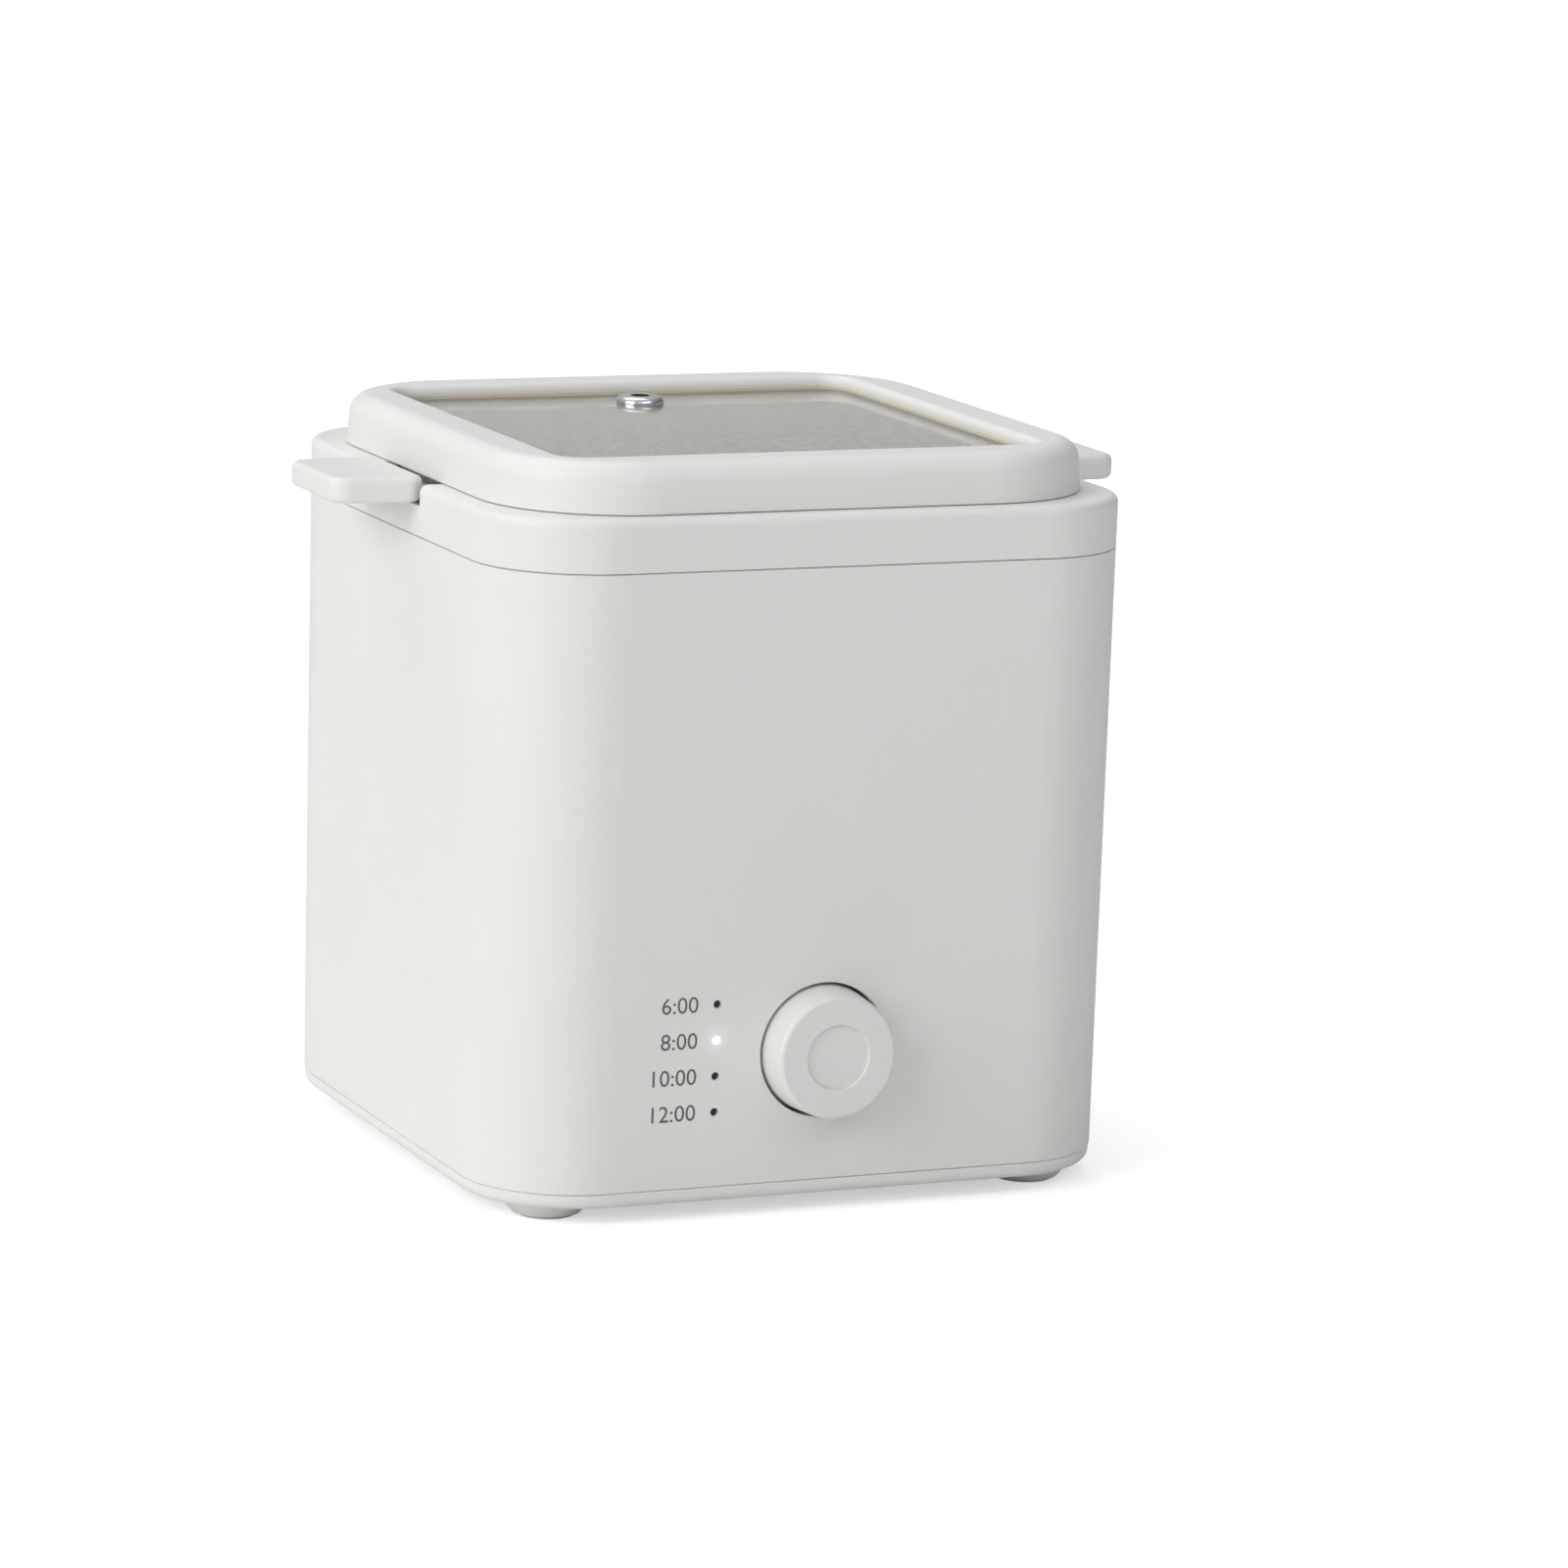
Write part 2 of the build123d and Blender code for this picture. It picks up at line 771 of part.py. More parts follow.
def sensor_bracket():
    """Bar across the sensor's flange, with its ends bent up to the plate."""
    low = sensor_bar_low
    half_length = sensor_bar_length / 2
    half_width = sensor_bar_width / 2
    bar = block((-half_width, half_width), (-half_length, half_length), (low, plate_under))
    step = sensor_flange_radius + sensor_bar_step
    across = half_width + 1
    bar -= block((-across, across), (-step, step), (sensor_flange_low, plate_under + 1))
    bar -= rod(sensor_radius + slip_gap, (0, 0, low - 1), (0, 0, plate_under + 1))
    for y in sensor_screw_places():
        bar -= rod(small_screw_radius + screw_gap, (0, y, low - 1), (0, y, plate_under + 1))
    return bar


def sensor_screws():
    low = sensor_bar_low - small_head_high
    length = plate_under - sensor_bar_low + sensor_screw_grip
    return [small_screw(0, y, low, length) for y in sensor_screw_places()]


def thermostat():
    """Bimetal switch against the plate, with two tags."""
    x = thermostat_offset
    low = plate_under - thermostat_high
    switch = rod(thermostat_radius, (x, 0, low), (x, 0, plate_under))
    x_span = (x - blade_thick / 2, x + blade_thick / 2)
    half = thermostat_tag_width / 2
    for side in (-1, 1):
        y = side * thermostat_tag_spread / 2
        switch += block(x_span, (y - half, y + half), (low - blade_length, low))
    return switch


def thermal_fuse():
    """Sealed cut-out in a sleeve, held against the plate by its clip."""
    x = -thermostat_offset
    z = plate_under - fuse_radius
    half_length = fuse_length / 2
    fuse = rod(fuse_radius, (x, -half_length, z), (x, half_length, z))
    across = fuse_radius + fuse_clip_wall
    along = fuse_clip_length / 2
    low = z - fuse_radius - blade_thick
    return fuse + block((x - across, x + across), (-along, along), (low, plate_under))


def well_posts():
    """Spacers that carry the well on the base cover."""
    places = four_corners(post_x, post_y)
    return [rod(post_radius, (x, y, base_seam), (x, y, well_under)) for x, y in places]


# Knob, encoder, lights and control board

def knob():
    """Tapered cap with a round dish in its face and a boss on the encoder's shaft."""
    tip = knob_face
    face = Plane.XZ.offset(-tip) * Circle(knob_face_radius)
    foot = Plane.XZ.offset(-knob_back) * Circle(knob_base_radius)
    solid = loft([face, foot])
    face_edge = solid.edges().sort_by(Axis.Y)[0]
    solid = fillet(face_edge, knob_edge_round)
    solid -= rod(knob_dish_radius, (0, tip - 1, 0), (0, tip + knob_dish_depth, 0))
    dish_edge = solid.faces().sort_by(Axis.Y)[0].inner_wires()[0].edges()
    solid = fillet(dish_edge, knob_dish_round)
    face_back = tip + knob_face_thick
    inside = rod(knob_face_radius - knob_wall, (0, face_back, 0), (0, knob_back + 1, 0))
    inside -= rod(knob_boss_radius, (0, tip, 0), (0, knob_boss_end, 0))
    solid -= inside
    bore = shaft_form(shaft_radius + shaft_fit, face_back, bushing_tip)
    return Pos(0, 0, knob_z) * (solid - bore)


def shaft_form(radius, tip, end):
    """Round shaft with a flat on its top side, from its tip to where the flat ends."""
    solid = rod(radius, (0, tip, 0), (0, end, 0))
    flat_z = shaft_flat + radius - shaft_radius
    return solid - block((-radius, radius), (tip - 1, end + 1), (flat_z, radius + 1))


def encoder_shaft():
    solid = shaft_form(shaft_radius, shaft_tip, knob_boss_end)
    solid += rod(shaft_radius, (0, knob_boss_end, 0), (0, shaft_back, 0))
    return Pos(0, 0, knob_z) * solid


def encoder_rotor():
    solid = rod(rotor_radius, (0, rotor_front, 0), (0, rotor_back, 0))
    solid -= rod(shaft_radius + running_gap, (0, rotor_front - 1, 0), (0, rotor_back + 1, 0))
    return Pos(0, 0, knob_z) * solid


def encoder_body():
    half = encoder_width / 2
    half_high = encoder_high / 2
    body = block((-half, half), (collar_back, encoder_back), (-half_high, half_high))
    body += rod(bushing_radius, (0, bushing_tip, 0), (0, collar_back + 1, 0))
    chamber_front = collar_back + encoder_front_wall
    body -= rod(rotor_radius + running_gap, (0, chamber_front, 0), (0, chamber_back, 0))
    shaft_hole = shaft_radius + running_gap
    body -= rod(shaft_hole, (0, bushing_tip - 1, 0), (0, chamber_front + 1, 0))
    return Pos(0, 0, knob_z) * body


def encoder_nut():
    plan = Plane.XZ.offset(-collar_front) * RegularPolygon(nut_across / 2, 6, major_radius=False)
    nut = extrude(plan, nut_thick)
    bore = bushing_radius + running_gap
    nut -= rod(bore, (0, collar_front - nut_thick - 1, 0), (0, collar_front + 1, 0))
    return Pos(0, 0, knob_z) * nut


def control_board():
    half = control_board_width / 2
    top = control_board_low + control_board_high
    board = block((-half, half), (encoder_back, control_board_back), (control_board_low, top))
    hole = small_screw_radius + screw_gap
    for x, z in board_post_places():
        board -= rod(hole, (x, encoder_back - 1, z), (x, control_board_back + 1, z))
    return board


def control_board_screws():
    made = []
    start = control_board_back
    end = start + small_head_high
    tip = encoder_back - board_screw_grip
    for x, z in board_post_places():
        head = rod(small_head_radius, (x, start, z), (x, end, z))
        shank = rod(small_screw_radius - running_gap, (x, tip, z), (x, start, z))
        made.append(head + shank)
    return made


def light_holder():
    """Dark block between the board and the front wall, with a channel for each light."""
    half = holder_width / 2
    x = -light_offset
    low = light_heights[-1] - holder_margin
    high = light_heights[0] + holder_margin
    reach = front_inside + holder_wall_gap
    holder = block((x - half, x + half), (reach, encoder_back), (low, high))
    for z in light_heights:
        holder -= rod(light_pin_radius + running_gap, (x, reach - 1, z), (x, encoder_back + 1, z))
        half_chip = chip_size / 2 + screw_gap
        holder -= block(
            (x - half_chip, x + half_chip),
            (encoder_back - chip_high - screw_gap, encoder_back + 1),
            (z - half_chip, z + half_chip),
        )
    return holder


def light_chips():
    half = chip_size / 2
    x_span = (-light_offset - half, -light_offset + half)
    y_span = (encoder_back - chip_high, encoder_back)
    return [block(x_span, y_span, (z - half, z + half)) for z in light_heights]


def light_pin(z):
    """Clear pin that leads the light of one chip to its hole in the front wall."""
    x = -light_offset
    tip = -body_half(z) + light_pin_recess
    return rod(light_pin_radius, (x, tip, z), (x, encoder_back - chip_high, z))


def dark_light_pins():
    return [light_pin(z) for i, z in enumerate(light_heights) if i != light_lit]


# Power board and inlet

def power_board():
    x_span = (-power_board_half, power_board_half)
    y_span = (power_board_front, power_board_rear)
    board = block(x_span, y_span, (power_board_low, power_board_top))
    hole = small_screw_radius + screw_gap
    for x, y in standoff_places():
        board -= rod(hole, (x, y, power_board_low - 1), (x, y, power_board_top + 1))
    return board


def power_board_screws():
    made = []
    start = power_board_top
    tip = power_board_low - board_screw_grip
    for x, y in standoff_places():
        head = rod(small_head_radius, (x, y, start), (x, y, start + small_head_high))
        shank = rod(small_screw_radius - running_gap, (x, y, tip), (x, y, start))
        made.append(head + shank)
    return made


def on_power_board(x, y, width, depth, height):
    """Boxed component that stands on the power board."""
    return block(
        (x - width / 2, x + width / 2),
        (y - depth / 2, y + depth / 2),
        (power_board_top, power_board_top + height),
    )


def relay():
    x = -power_board_half + relay_from_side
    y = power_board_front + relay_from_front
    case = on_power_board(x, y, relay_width, relay_depth, relay_high)
    return fillet(high_edges(case), case_round)


def film_capacitor():
    y = power_board_rear - film_from_rear
    case = on_power_board(film_from_middle, y, film_width, film_depth, film_high)
    return fillet(high_edges(case), case_round)


def transformer():
    x = line_fuse_x - transformer_from_fuse
    y = power_board_front + transformer_from_front
    core = on_power_board(x, y, core_width, core_depth, core_high)
    return core + on_power_board(x, y, winding_width, winding_depth, winding_high)


def smoothing_capacitors():
    made = []
    for side in (-1, 1):
        x = side * capacitor_spread / 2
        top = power_board_top + capacitor_high
        can = rod(capacitor_radius, (x, capacitor_y, power_board_top), (x, capacitor_y, top))
        made.append(fillet(high_edges(can), case_round))
    return made


def line_fuse():
    """Fuse tube in two upright holders."""
    x = line_fuse_x
    z = power_board_top + line_fuse_high
    rear = power_board_rear - line_fuse_from_rear
    fore = rear - line_fuse_length
    tube = rod(line_fuse_radius, (x, fore, z), (x, rear, z))
    x_span = (x - fuse_holder_width / 2, x + fuse_holder_width / 2)
    for y in (fore + fuse_holder_inset, rear - fuse_holder_inset - fuse_holder_thick):
        tube += block(x_span, (y, y + fuse_holder_thick), (power_board_top, z))
    return tube


def terminal_block():
    x_mid = terminal_block_x
    y_mid = terminal_block_y
    case = on_power_board(x_mid, y_mid, 2 * terminal_pitch, terminal_block_depth, terminal_block_high)
    top = power_board_top + terminal_block_high
    for x, y in terminal_places():
        case -= rod(tag_radius, (x, y, top - tag_depth), (x, y, top + 1))
    return case


def terminal_places():
    """Wire holes of the terminal block: mains in front, heater behind."""
    x_side = terminal_pitch / 2
    y_side = terminal_row / 2
    return [
        (terminal_block_x + side * x_side, terminal_block_y + row * y_side)
        for row in (-1, 1)
        for side in (-1, 1)
    ]


def inlet_block(margin, rear, fore):
    """Upright rounded block on the inlet's axis, for its body, its flange and their seats."""
    width = inlet_width + 2 * margin
    high = inlet_high + 2 * margin
    outline = RectangleRounded(width, high, inlet_corner)
    plan = Plane.XZ.offset(-rear) * Pos(0, inlet_z) * outline
    return extrude(plan, rear - fore)


def power_inlet():
    inlet = inlet_block(0, inlet_face, inlet_end)
    inlet += inlet_block(inlet_flange, inlet_face, inlet_face - inlet_flange_thick)
    outline = SlotOverall(inlet_mouth_width, inlet_mouth_high)
    plan = Plane.XZ.offset(-inlet_face) * Pos(0, inlet_z) * outline
    inlet -= extrude(plan, inlet_mouth_depth)
    for side in (-1, 1):
        x = side * inlet_pin_spread / 2
        inlet -= rod(inlet_pin_radius, (x, inlet_end - 1, inlet_z), (x, inlet_face, inlet_z))
    return inlet


def inlet_pins():
    """Round contact pins, which run through the back of the inlet to solder ends inside."""
    made = []
    start = inlet_end - inlet_pin_tail
    end = inlet_face - inlet_mouth_depth + inlet_pin_length
    for side in (-1, 1):
        x = side * inlet_pin_spread / 2
        made.append(rod(inlet_pin_radius, (x, start, inlet_z), (x, end, inlet_z)))
    return made


def mains_leads():
    """From the inlet's pins over to the front holes of the terminal block."""
    made = []
    tag_low = power_board_top + terminal_block_high - tag_depth
    z_high = heater_lead_heights[1] + lead_step
    y_start = inlet_end - inlet_pin_tail
    for side, (x_end, y_end) in zip((-1, 1), terminal_places()[:2]):
        x_start = side * inlet_pin_spread / 2
        made.append(lead([
            (x_start, y_start, inlet_z),
            (x_start, y_start - 2 * lead_bend, inlet_z),
            (x_start, y_start - 2 * lead_bend, z_high),
            (x_end, y_end, z_high),
            (x_end, y_end, tag_low),
        ]))
    return made


def heater_leads():
    """From the rear holes of the terminal block up to the tags of the heating element."""
    made = []
    tag_low = power_board_top + terminal_block_high - tag_depth
    ends = zip((-1, 1), terminal_places()[2:], heater_lead_heights)
    for side, (x_start, y_start), z_low in ends:
        x_end = side * element_end_x
        made.append(lead([
            (x_start, y_start, tag_low),
            (x_start, y_start, z_low),
            (x_end, element_end_y, z_low),
            (x_end, element_end_y, blade_low),
        ]))
    return made


def sensor_lead():
    """From the sensor down to the power board."""
    turn = sensor_low - sensor_lead_drop
    return lead([
        (0, 0, sensor_low),
        (0, 0, turn),
        (0, sensor_lead_back, turn),
        (0, sensor_lead_back, power_board_top),
    ])


def board_ribbon():
    """Flat lead from the control board to the front edge of the power board."""
    half = ribbon_width / 2
    z = control_board_low + ribbon_above_edge
    y_drop = power_board_front + ribbon_inset
    bent = block((-half, half), (control_board_back, y_drop + ribbon_thick), (z, z + ribbon_thick))
    bent += block((-half, half), (y_drop, y_drop + ribbon_thick), (power_board_top, z + ribbon_thick))
    return bent


# Pot and ears

def pot():
    body = slab(pot_half, pot_radius, pot_under, flange_top)
    body = fillet(low_edges(body), pot_foot_round)
    body += slab(flange_half, pot_radius + pot_flange, flange_low, flange_top)
    inside = slab(pot_half - pot_wall, pot_radius - pot_wall, pot_floor, flange_top + 1)
    inside = fillet(low_edges(inside), pot_foot_round - pot_wall)
    return body - inside


def ear_bracket(side):
    """Steel tongue under the pot's flange, which reaches out into the ear."""
    half = bracket_width / 2
    length = bracket_tip - pot_half
    plan = Pos(pot_half + length / 2, 0, bracket_low) * Rectangle(length, 2 * half)
    plan = fillet(plan.vertices().group_by(Axis.X)[-1], bracket_corner)
    plate = extrude(plan, bracket_thick)
    x = ear_screw_x
    hole = small_screw_radius + running_gap
    for y in (-ear_screw_spread / 2, ear_screw_spread / 2):
        plate -= rod(hole, (x, y, bracket_low - 1), (x, y, bracket_top + 1))
    return on_side(side, plate)


def on_side(side, solid):
    """The right-hand piece as made, or the left-hand one turned half round."""
    return solid if side > 0 else Rot(0, 0, 180) * solid


def ear(side):
    """Flat grip over the bracket, a little narrower towards its tip."""
    heel = ear_width / 2
    tip = ear_tip_width / 2
    corners = [(ear_heel, -heel), (ear_tip, -tip), (ear_tip, tip), (ear_heel, heel)]
    plan = Pos(0, 0, ear_low) * make_face(Polyline(*corners, close=True))
    ends = plan.vertices().group_by(Axis.X)
    plan = fillet(ends[-1], ear_corner)
    plan = fillet(plan.vertices().group_by(Axis.X)[0], ear_heel_corner)
    grip = extrude(plan, ear_thick)
    grip = fillet(high_edges(grip) + low_edges(grip), ear_edge_round)
    slot_half = bracket_width / 2 + screw_gap
    slot = block(
        (ear_heel - 1, bracket_tip + screw_gap),
        (-slot_half, slot_half),
        (bracket_low - running_gap, bracket_top + running_gap),
    )
    grip -= slot
    x = ear_screw_x
    hole = small_screw_radius + screw_gap
    hole_top = bracket_top + ear_screw_grip + head_recess
    head_hole = small_head_radius + screw_gap
    for y in (-ear_screw_spread / 2, ear_screw_spread / 2):
        grip -= rod(hole, (x, y, ear_low - 1), (x, y, hole_top))
        grip -= rod(head_hole, (x, y, ear_low - 1), (x, y, ear_low + small_head_high))
    return on_side(side, grip)


def ear_screws():
    made = []
    length = bracket_top + ear_screw_grip - ear_low - small_head_high
    for side in (-1, 1):
        for y in (-ear_screw_spread / 2, ear_screw_spread / 2):
            made.append(small_screw(side * ear_screw_x, y, ear_low, length))
    return made


# Egg rack

def egg_rack():
    """Pressed tray with a turned-down rim, four seats and four short legs."""
    low = rack_low
    top = rack_top
    skirt_end = top - rack_skirt
    tray = slab(rack_half, rack_radius, skirt_end, top)
    tray = fillet(high_edges(tray), rack_thick)
    tray -= slab(rack_half - rack_thick, rack_radius - rack_thick, skirt_end - 1, low)
    for x, y in four_corners(seat_offset, seat_offset):
        tray -= rod(seat_radius, (x, y, low - 1), (x, y, top + 1))
    reach = rack_leg_reach()
    for x, y in four_corners(reach, reach):
        tray += rod(rack_leg_radius, (x, y, pot_floor), (x, y, low + rack_thick / 2))
    for i in range(steam_hole_count):
        angle = math.radians(steam_hole_turn + 360 * i / steam_hole_count)
        x = steam_hole_ring * math.cos(angle)
        y = steam_hole_ring * math.sin(angle)
        tray -= rod(steam_hole_radius, (x, y, low - 1), (x, y, top + 1))
    tray -= rod(stem_radius + running_gap, (0, 0, low - 1), (0, 0, top + 1))
    return tray


def rack_leg_reach():
    """Legs stand outside the seats, on the diagonal."""
    return seat_offset + (seat_radius + rack_leg_radius + rack_leg_gap) * math.sqrt(0.5)


def rack_stem():
    """Lifting stem: a collar on the tray, a rod, and a round grip on top."""
    low = rack_low
    top = rack_top
    stem = rod(stem_radius, (0, 0, low - stem_foot_thick), (0, 0, top + stem_height))
    stem += rod(stem_foot_radius, (0, 0, top), (0, 0, top + stem_foot_thick))
    stem += rod(stem_foot_radius, (0, 0, low - stem_foot_thick), (0, 0, low))
    grip_low = top + stem_height - stem_knob_thick
    grip = rod(stem_knob_radius, (0, 0, grip_low), (0, 0, top + stem_height))
    grip = fillet(high_edges(grip), stem_knob_round)
    grip = fillet(low_edges(grip), stem_knob_low_round)
    return stem + grip


# Lid

def lid_frame():
    """Rounded white frame round the window, hollow below for the glass and its clamp."""
    plan = Plane.XY.offset(lid_low) * RectangleRounded(2 * lid_half, 2 * lid_half, lid_radius)
    frame = extrude(plan, lid_top - lid_low, taper=lid_draft)
    frame = fillet(high_edges(frame), lid_round)
    frame -= slab(window_half, lid_window_radius, lid_low - 1, lid_top + 1)
    inner_edges = frame.faces().sort_by(Axis.Z)[-1].inner_wires()[0].edges()
    frame = fillet(inner_edges, lid_window_round)
    frame -= slab(pocket_half, glass_radius + pocket_corner_gap, lid_low - 1, lip_low)
    frame -= slab(lid_inner_half, lid_radius - lid_wall, lid_low - 1, glass_low)
    pilot = small_screw_radius + running_gap
    for x, y in lid_screw_places():
        frame -= rod(pilot, (x, y, glass_low - 1), (x, y, glass_low + lid_screw_grip))
    return frame


def lid_screw_places():
    across = four_corners(lid_screw_line, lid_screw_offset)
    along = four_corners(lid_screw_offset, lid_screw_line)
    return across + along


def lid_inner_ring():
    """Clamps the glass from below, rests on the pot's flange and centres the lid in the pot."""
    ring = slab(inner_ring_half, lid_radius - lid_wall - slip_gap, lid_low, glass_low)
    foot_radius = pot_radius + pot_flange - flange_gap
    ring += slab(flange_half - flange_gap, foot_radius, flange_top, lid_low)
    plug_radius = pot_radius - pot_wall - plug_gap
    ring += slab(plug_half, plug_radius, plug_low, flange_top + 1)
    ring -= slab(plug_half - plug_wall, plug_radius - plug_wall, plug_low - 1, flange_top + 1)
    ring -= slab(inner_ring_window, glass_radius, plug_low - 2, lid_top)
    head_top = flange_top + head_recess + small_head_high
    hole = small_screw_radius + screw_gap
    head_hole = small_head_radius + screw_gap
    for x, y in lid_screw_places():
        ring -= rod(hole, (x, y, flange_top - 1), (x, y, glass_low + 1))
        ring -= rod(head_hole, (x, y, flange_top - 1), (x, y, head_top))
    return ring


def lid_screws():
    low = flange_top + head_recess
    tip = glass_low + lid_screw_grip - lid_screw_tip_gap
    length = tip - low - small_head_high
    return [small_screw(x, y, low, length) for x, y in lid_screw_places()]


def lid_glass():
    glass = slab(glass_half, glass_radius, glass_low, glass_top)
    glass = fillet(high_edges(glass), glass_edge_round)
    return glass - rod(vent_hole_radius, (0, vent_y, glass_low - 1), (0, vent_y, glass_top + 1))


def lid_gasket():
    """Thin seal between the glass and the frame's lip; its inner edge shows in the window."""
    seal = slab(gasket_half, glass_radius + pocket_corner_gap - glass_gap, glass_top, lip_low)
    return seal - slab(window_half + screw_gap, lid_window_radius, glass_top - 1, lip_low + 1)


def steam_vent():
    """Bright eyelet through the glass, with a rounded flange above and a rolled foot below."""
    y = vent_y
    top = glass_top + vent_flange_thick
    foot = glass_low - vent_foot_thick
    eyelet = rod(vent_flange_radius, (0, y, glass_top), (0, y, top))
    eyelet = fillet(high_edges(eyelet), vent_flange_round)
    eyelet += rod(vent_tube_radius, (0, y, foot), (0, y, glass_top + vent_flange_thick / 2))
    eyelet += rod(vent_foot_radius, (0, y, foot), (0, y, glass_low))
    return eyelet - rod(vent_bore_radius, (0, y, foot - 1), (0, y, top + 1))


# Every piece under its node's name

def all_pieces():
    return {
        "housing_shell": housing_shell(),
        "top_ring": top_ring(),
        "ring_screws": ring_screws(),
        "base_cover": base_cover(),
        "feet": feet(),
        "foot_pads": foot_pads(),
        "base_screws": base_screws(),
        "inner_well": inner_well(),
        "well_posts": well_posts(),
        "heating_plate": heating_plate(),
        "plate_screws": plate_screws(),
        "heating_element": heating_element(),
        "element_terminals": element_terminals(),
        "temperature_sensor": temperature_sensor(),
        "sensor_bracket": sensor_bracket(),
        "sensor_screws": sensor_screws(),
        "thermostat": thermostat(),
        "thermal_fuse": thermal_fuse(),
        "control_board": control_board(),
        "control_board_screws": control_board_screws(),
        "light_holder": light_holder(),
        "light_chips": light_chips(),
        "dark_light_pins": dark_light_pins(),
        "lit_light_pin": light_pin(light_heights[light_lit]),
        "encoder_body": encoder_body(),
        "encoder_nut": encoder_nut(),
        "encoder_rotor": encoder_rotor(),
        "encoder_shaft": encoder_shaft(),
        "knob": knob(),
        "power_board": power_board(),
        "power_board_screws": power_board_screws(),
        "relay": relay(),
        "film_capacitor": film_capacitor(),
        "transformer": transformer(),
        "smoothing_capacitors": smoothing_capacitors(),
        "line_fuse": line_fuse(),
        "terminal_block": terminal_block(),
        "power_inlet": power_inlet(),
        "inlet_pins": inlet_pins(),
        "mains_leads": mains_leads(),
        "heater_leads": heater_leads(),
        "sensor_lead": sensor_lead(),
        "board_ribbon": board_ribbon(),
        "pot": pot(),
        "left_ear_bracket": ear_bracket(-1),
        "right_ear_bracket": ear_bracket(1),
        "left_ear": ear(-1),
        "right_ear": ear(1),
        "ear_screws": ear_screws(),
        "egg_rack": egg_rack(),
        "rack_stem": rack_stem(),
        "lid_frame": lid_frame(),
        "lid_inner_ring": lid_inner_ring(),
        "lid_screws": lid_screws(),
        "lid_glass": lid_glass(),
        "lid_gasket": lid_gasket(),
        "steam_vent": steam_vent(),
    }


def write_parts():
    os.makedirs("parts", exist_ok=True)
    place = Pos(0, front_shift, 0)
    for name, made in all_pieces().items():
        solids = made if isinstance(made, list) else made.solids()
        placed = [place * solid for solid in solids]
        whole = placed[0] if len(placed) == 1 else Compound(children=placed)
        export_step(whole, f"parts/{name}.step")


write_parts()
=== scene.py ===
import json
import math
import random

import bmesh
import bpy
from mathutils import Matrix, Vector


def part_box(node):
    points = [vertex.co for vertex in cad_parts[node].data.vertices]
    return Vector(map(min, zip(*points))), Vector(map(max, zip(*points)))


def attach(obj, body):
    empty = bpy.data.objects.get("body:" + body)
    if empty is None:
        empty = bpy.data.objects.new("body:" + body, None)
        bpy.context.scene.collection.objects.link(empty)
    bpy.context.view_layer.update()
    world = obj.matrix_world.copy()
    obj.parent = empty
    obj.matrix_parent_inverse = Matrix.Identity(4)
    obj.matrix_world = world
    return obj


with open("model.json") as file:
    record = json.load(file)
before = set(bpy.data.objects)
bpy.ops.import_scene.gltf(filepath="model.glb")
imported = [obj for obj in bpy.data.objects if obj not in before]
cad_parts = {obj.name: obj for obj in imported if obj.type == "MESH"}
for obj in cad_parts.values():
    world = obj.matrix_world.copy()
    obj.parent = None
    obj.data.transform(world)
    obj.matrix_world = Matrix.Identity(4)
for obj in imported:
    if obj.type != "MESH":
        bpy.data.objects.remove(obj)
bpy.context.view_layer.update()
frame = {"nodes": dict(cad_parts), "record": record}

# Square egg cooker of white satin plastic, with a steel pot, a glass lid and a round knob.
# Metres, in the part's own frame: +Z is up and the knob looks along -Y.
# Places come from the frame's pieces, so what is added here follows them.

# Camera, as the photograph was taken, with angles in degrees
camera_place = (-0.5033, -1.1990, 0.3224)
camera_yaw = 23.445
camera_pitch = 10.931
camera_roll = 1.773
camera_lens = 155.9
sensor_width = 36.0

# Soft light from all round, which fades from left to right
plain_white = (1.0, 1.0, 1.0)
warm_white = (1.0, 0.998, 0.99)
ambient_levels = (0.46, 0.18)
ambient_reach = (-0.6, 0.6)

# Background as metal and glass see it: darker to the right, paler overhead
mirror_side_levels = (1.0, 0.35)
mirror_side_reach = (0.2, 1.0)
mirror_up_levels = (0.55, 0.8)
mirror_up_reach = (0.1, 0.7)
through_level = 0.8

# Floor, whose own glow grows to white with the distance from the object
floor_size = 14.0
floor_colour = (0.90, 0.90, 0.895)
floor_cloud_shade = 0.995
floor_glow_levels = (0.5, 1.0)
floor_glow_reach = (0.35, 1.6)

# Lamps: place, what they look at, size across and up, power in watts, and colour
object_middle = (0.0, 0.0, 0.07)
lid_front = (0.0, -0.06, 0.12)
lamps = {
    "left_key": ((-1.9, -0.55, 0.95), object_middle, (1.6, 1.3), 21.5, (1.0, 0.997, 0.99)),
    "front_fill": ((-0.4, -2.2, 1.4), object_middle, (2.0, 1.2), 2.8, plain_white),
    "front_top": ((0.15, -0.5, 0.55), lid_front, (0.5, 0.3), 0.72, plain_white),
    "top_fill": ((-0.2, 0.9, 2.2), object_middle, (1.8, 1.8), 18.0, plain_white),
}

# Faint light that the burning indicator throws on the wall
glow_power = 0.00003
glow_radius = 0.0006
glow_before_wall = 0.0012

# Printed numbers beside the lights
number_words = ("6:00", "8:00", "10:00", "12:00")
number_high = 0.0031
number_gap = 0.0031
number_thick = 0.00003
digit_share_of_font = 0.70
number_curve_steps = 4

# Beads of water under the glass, where a bias above 1 favours the small size, the front or the left
drop_count = 1900
drop_smallest = 0.0002
drop_largest = 0.0009
drop_small_bias = 3
drop_front_bias = 2.6
drop_left_bias = 1.5
drop_vent_gap = 0.0065
drop_hang = 0.00001
drop_flatness = 0.6
drop_unevenness = (0.85, 1.15)
drop_seed = 7

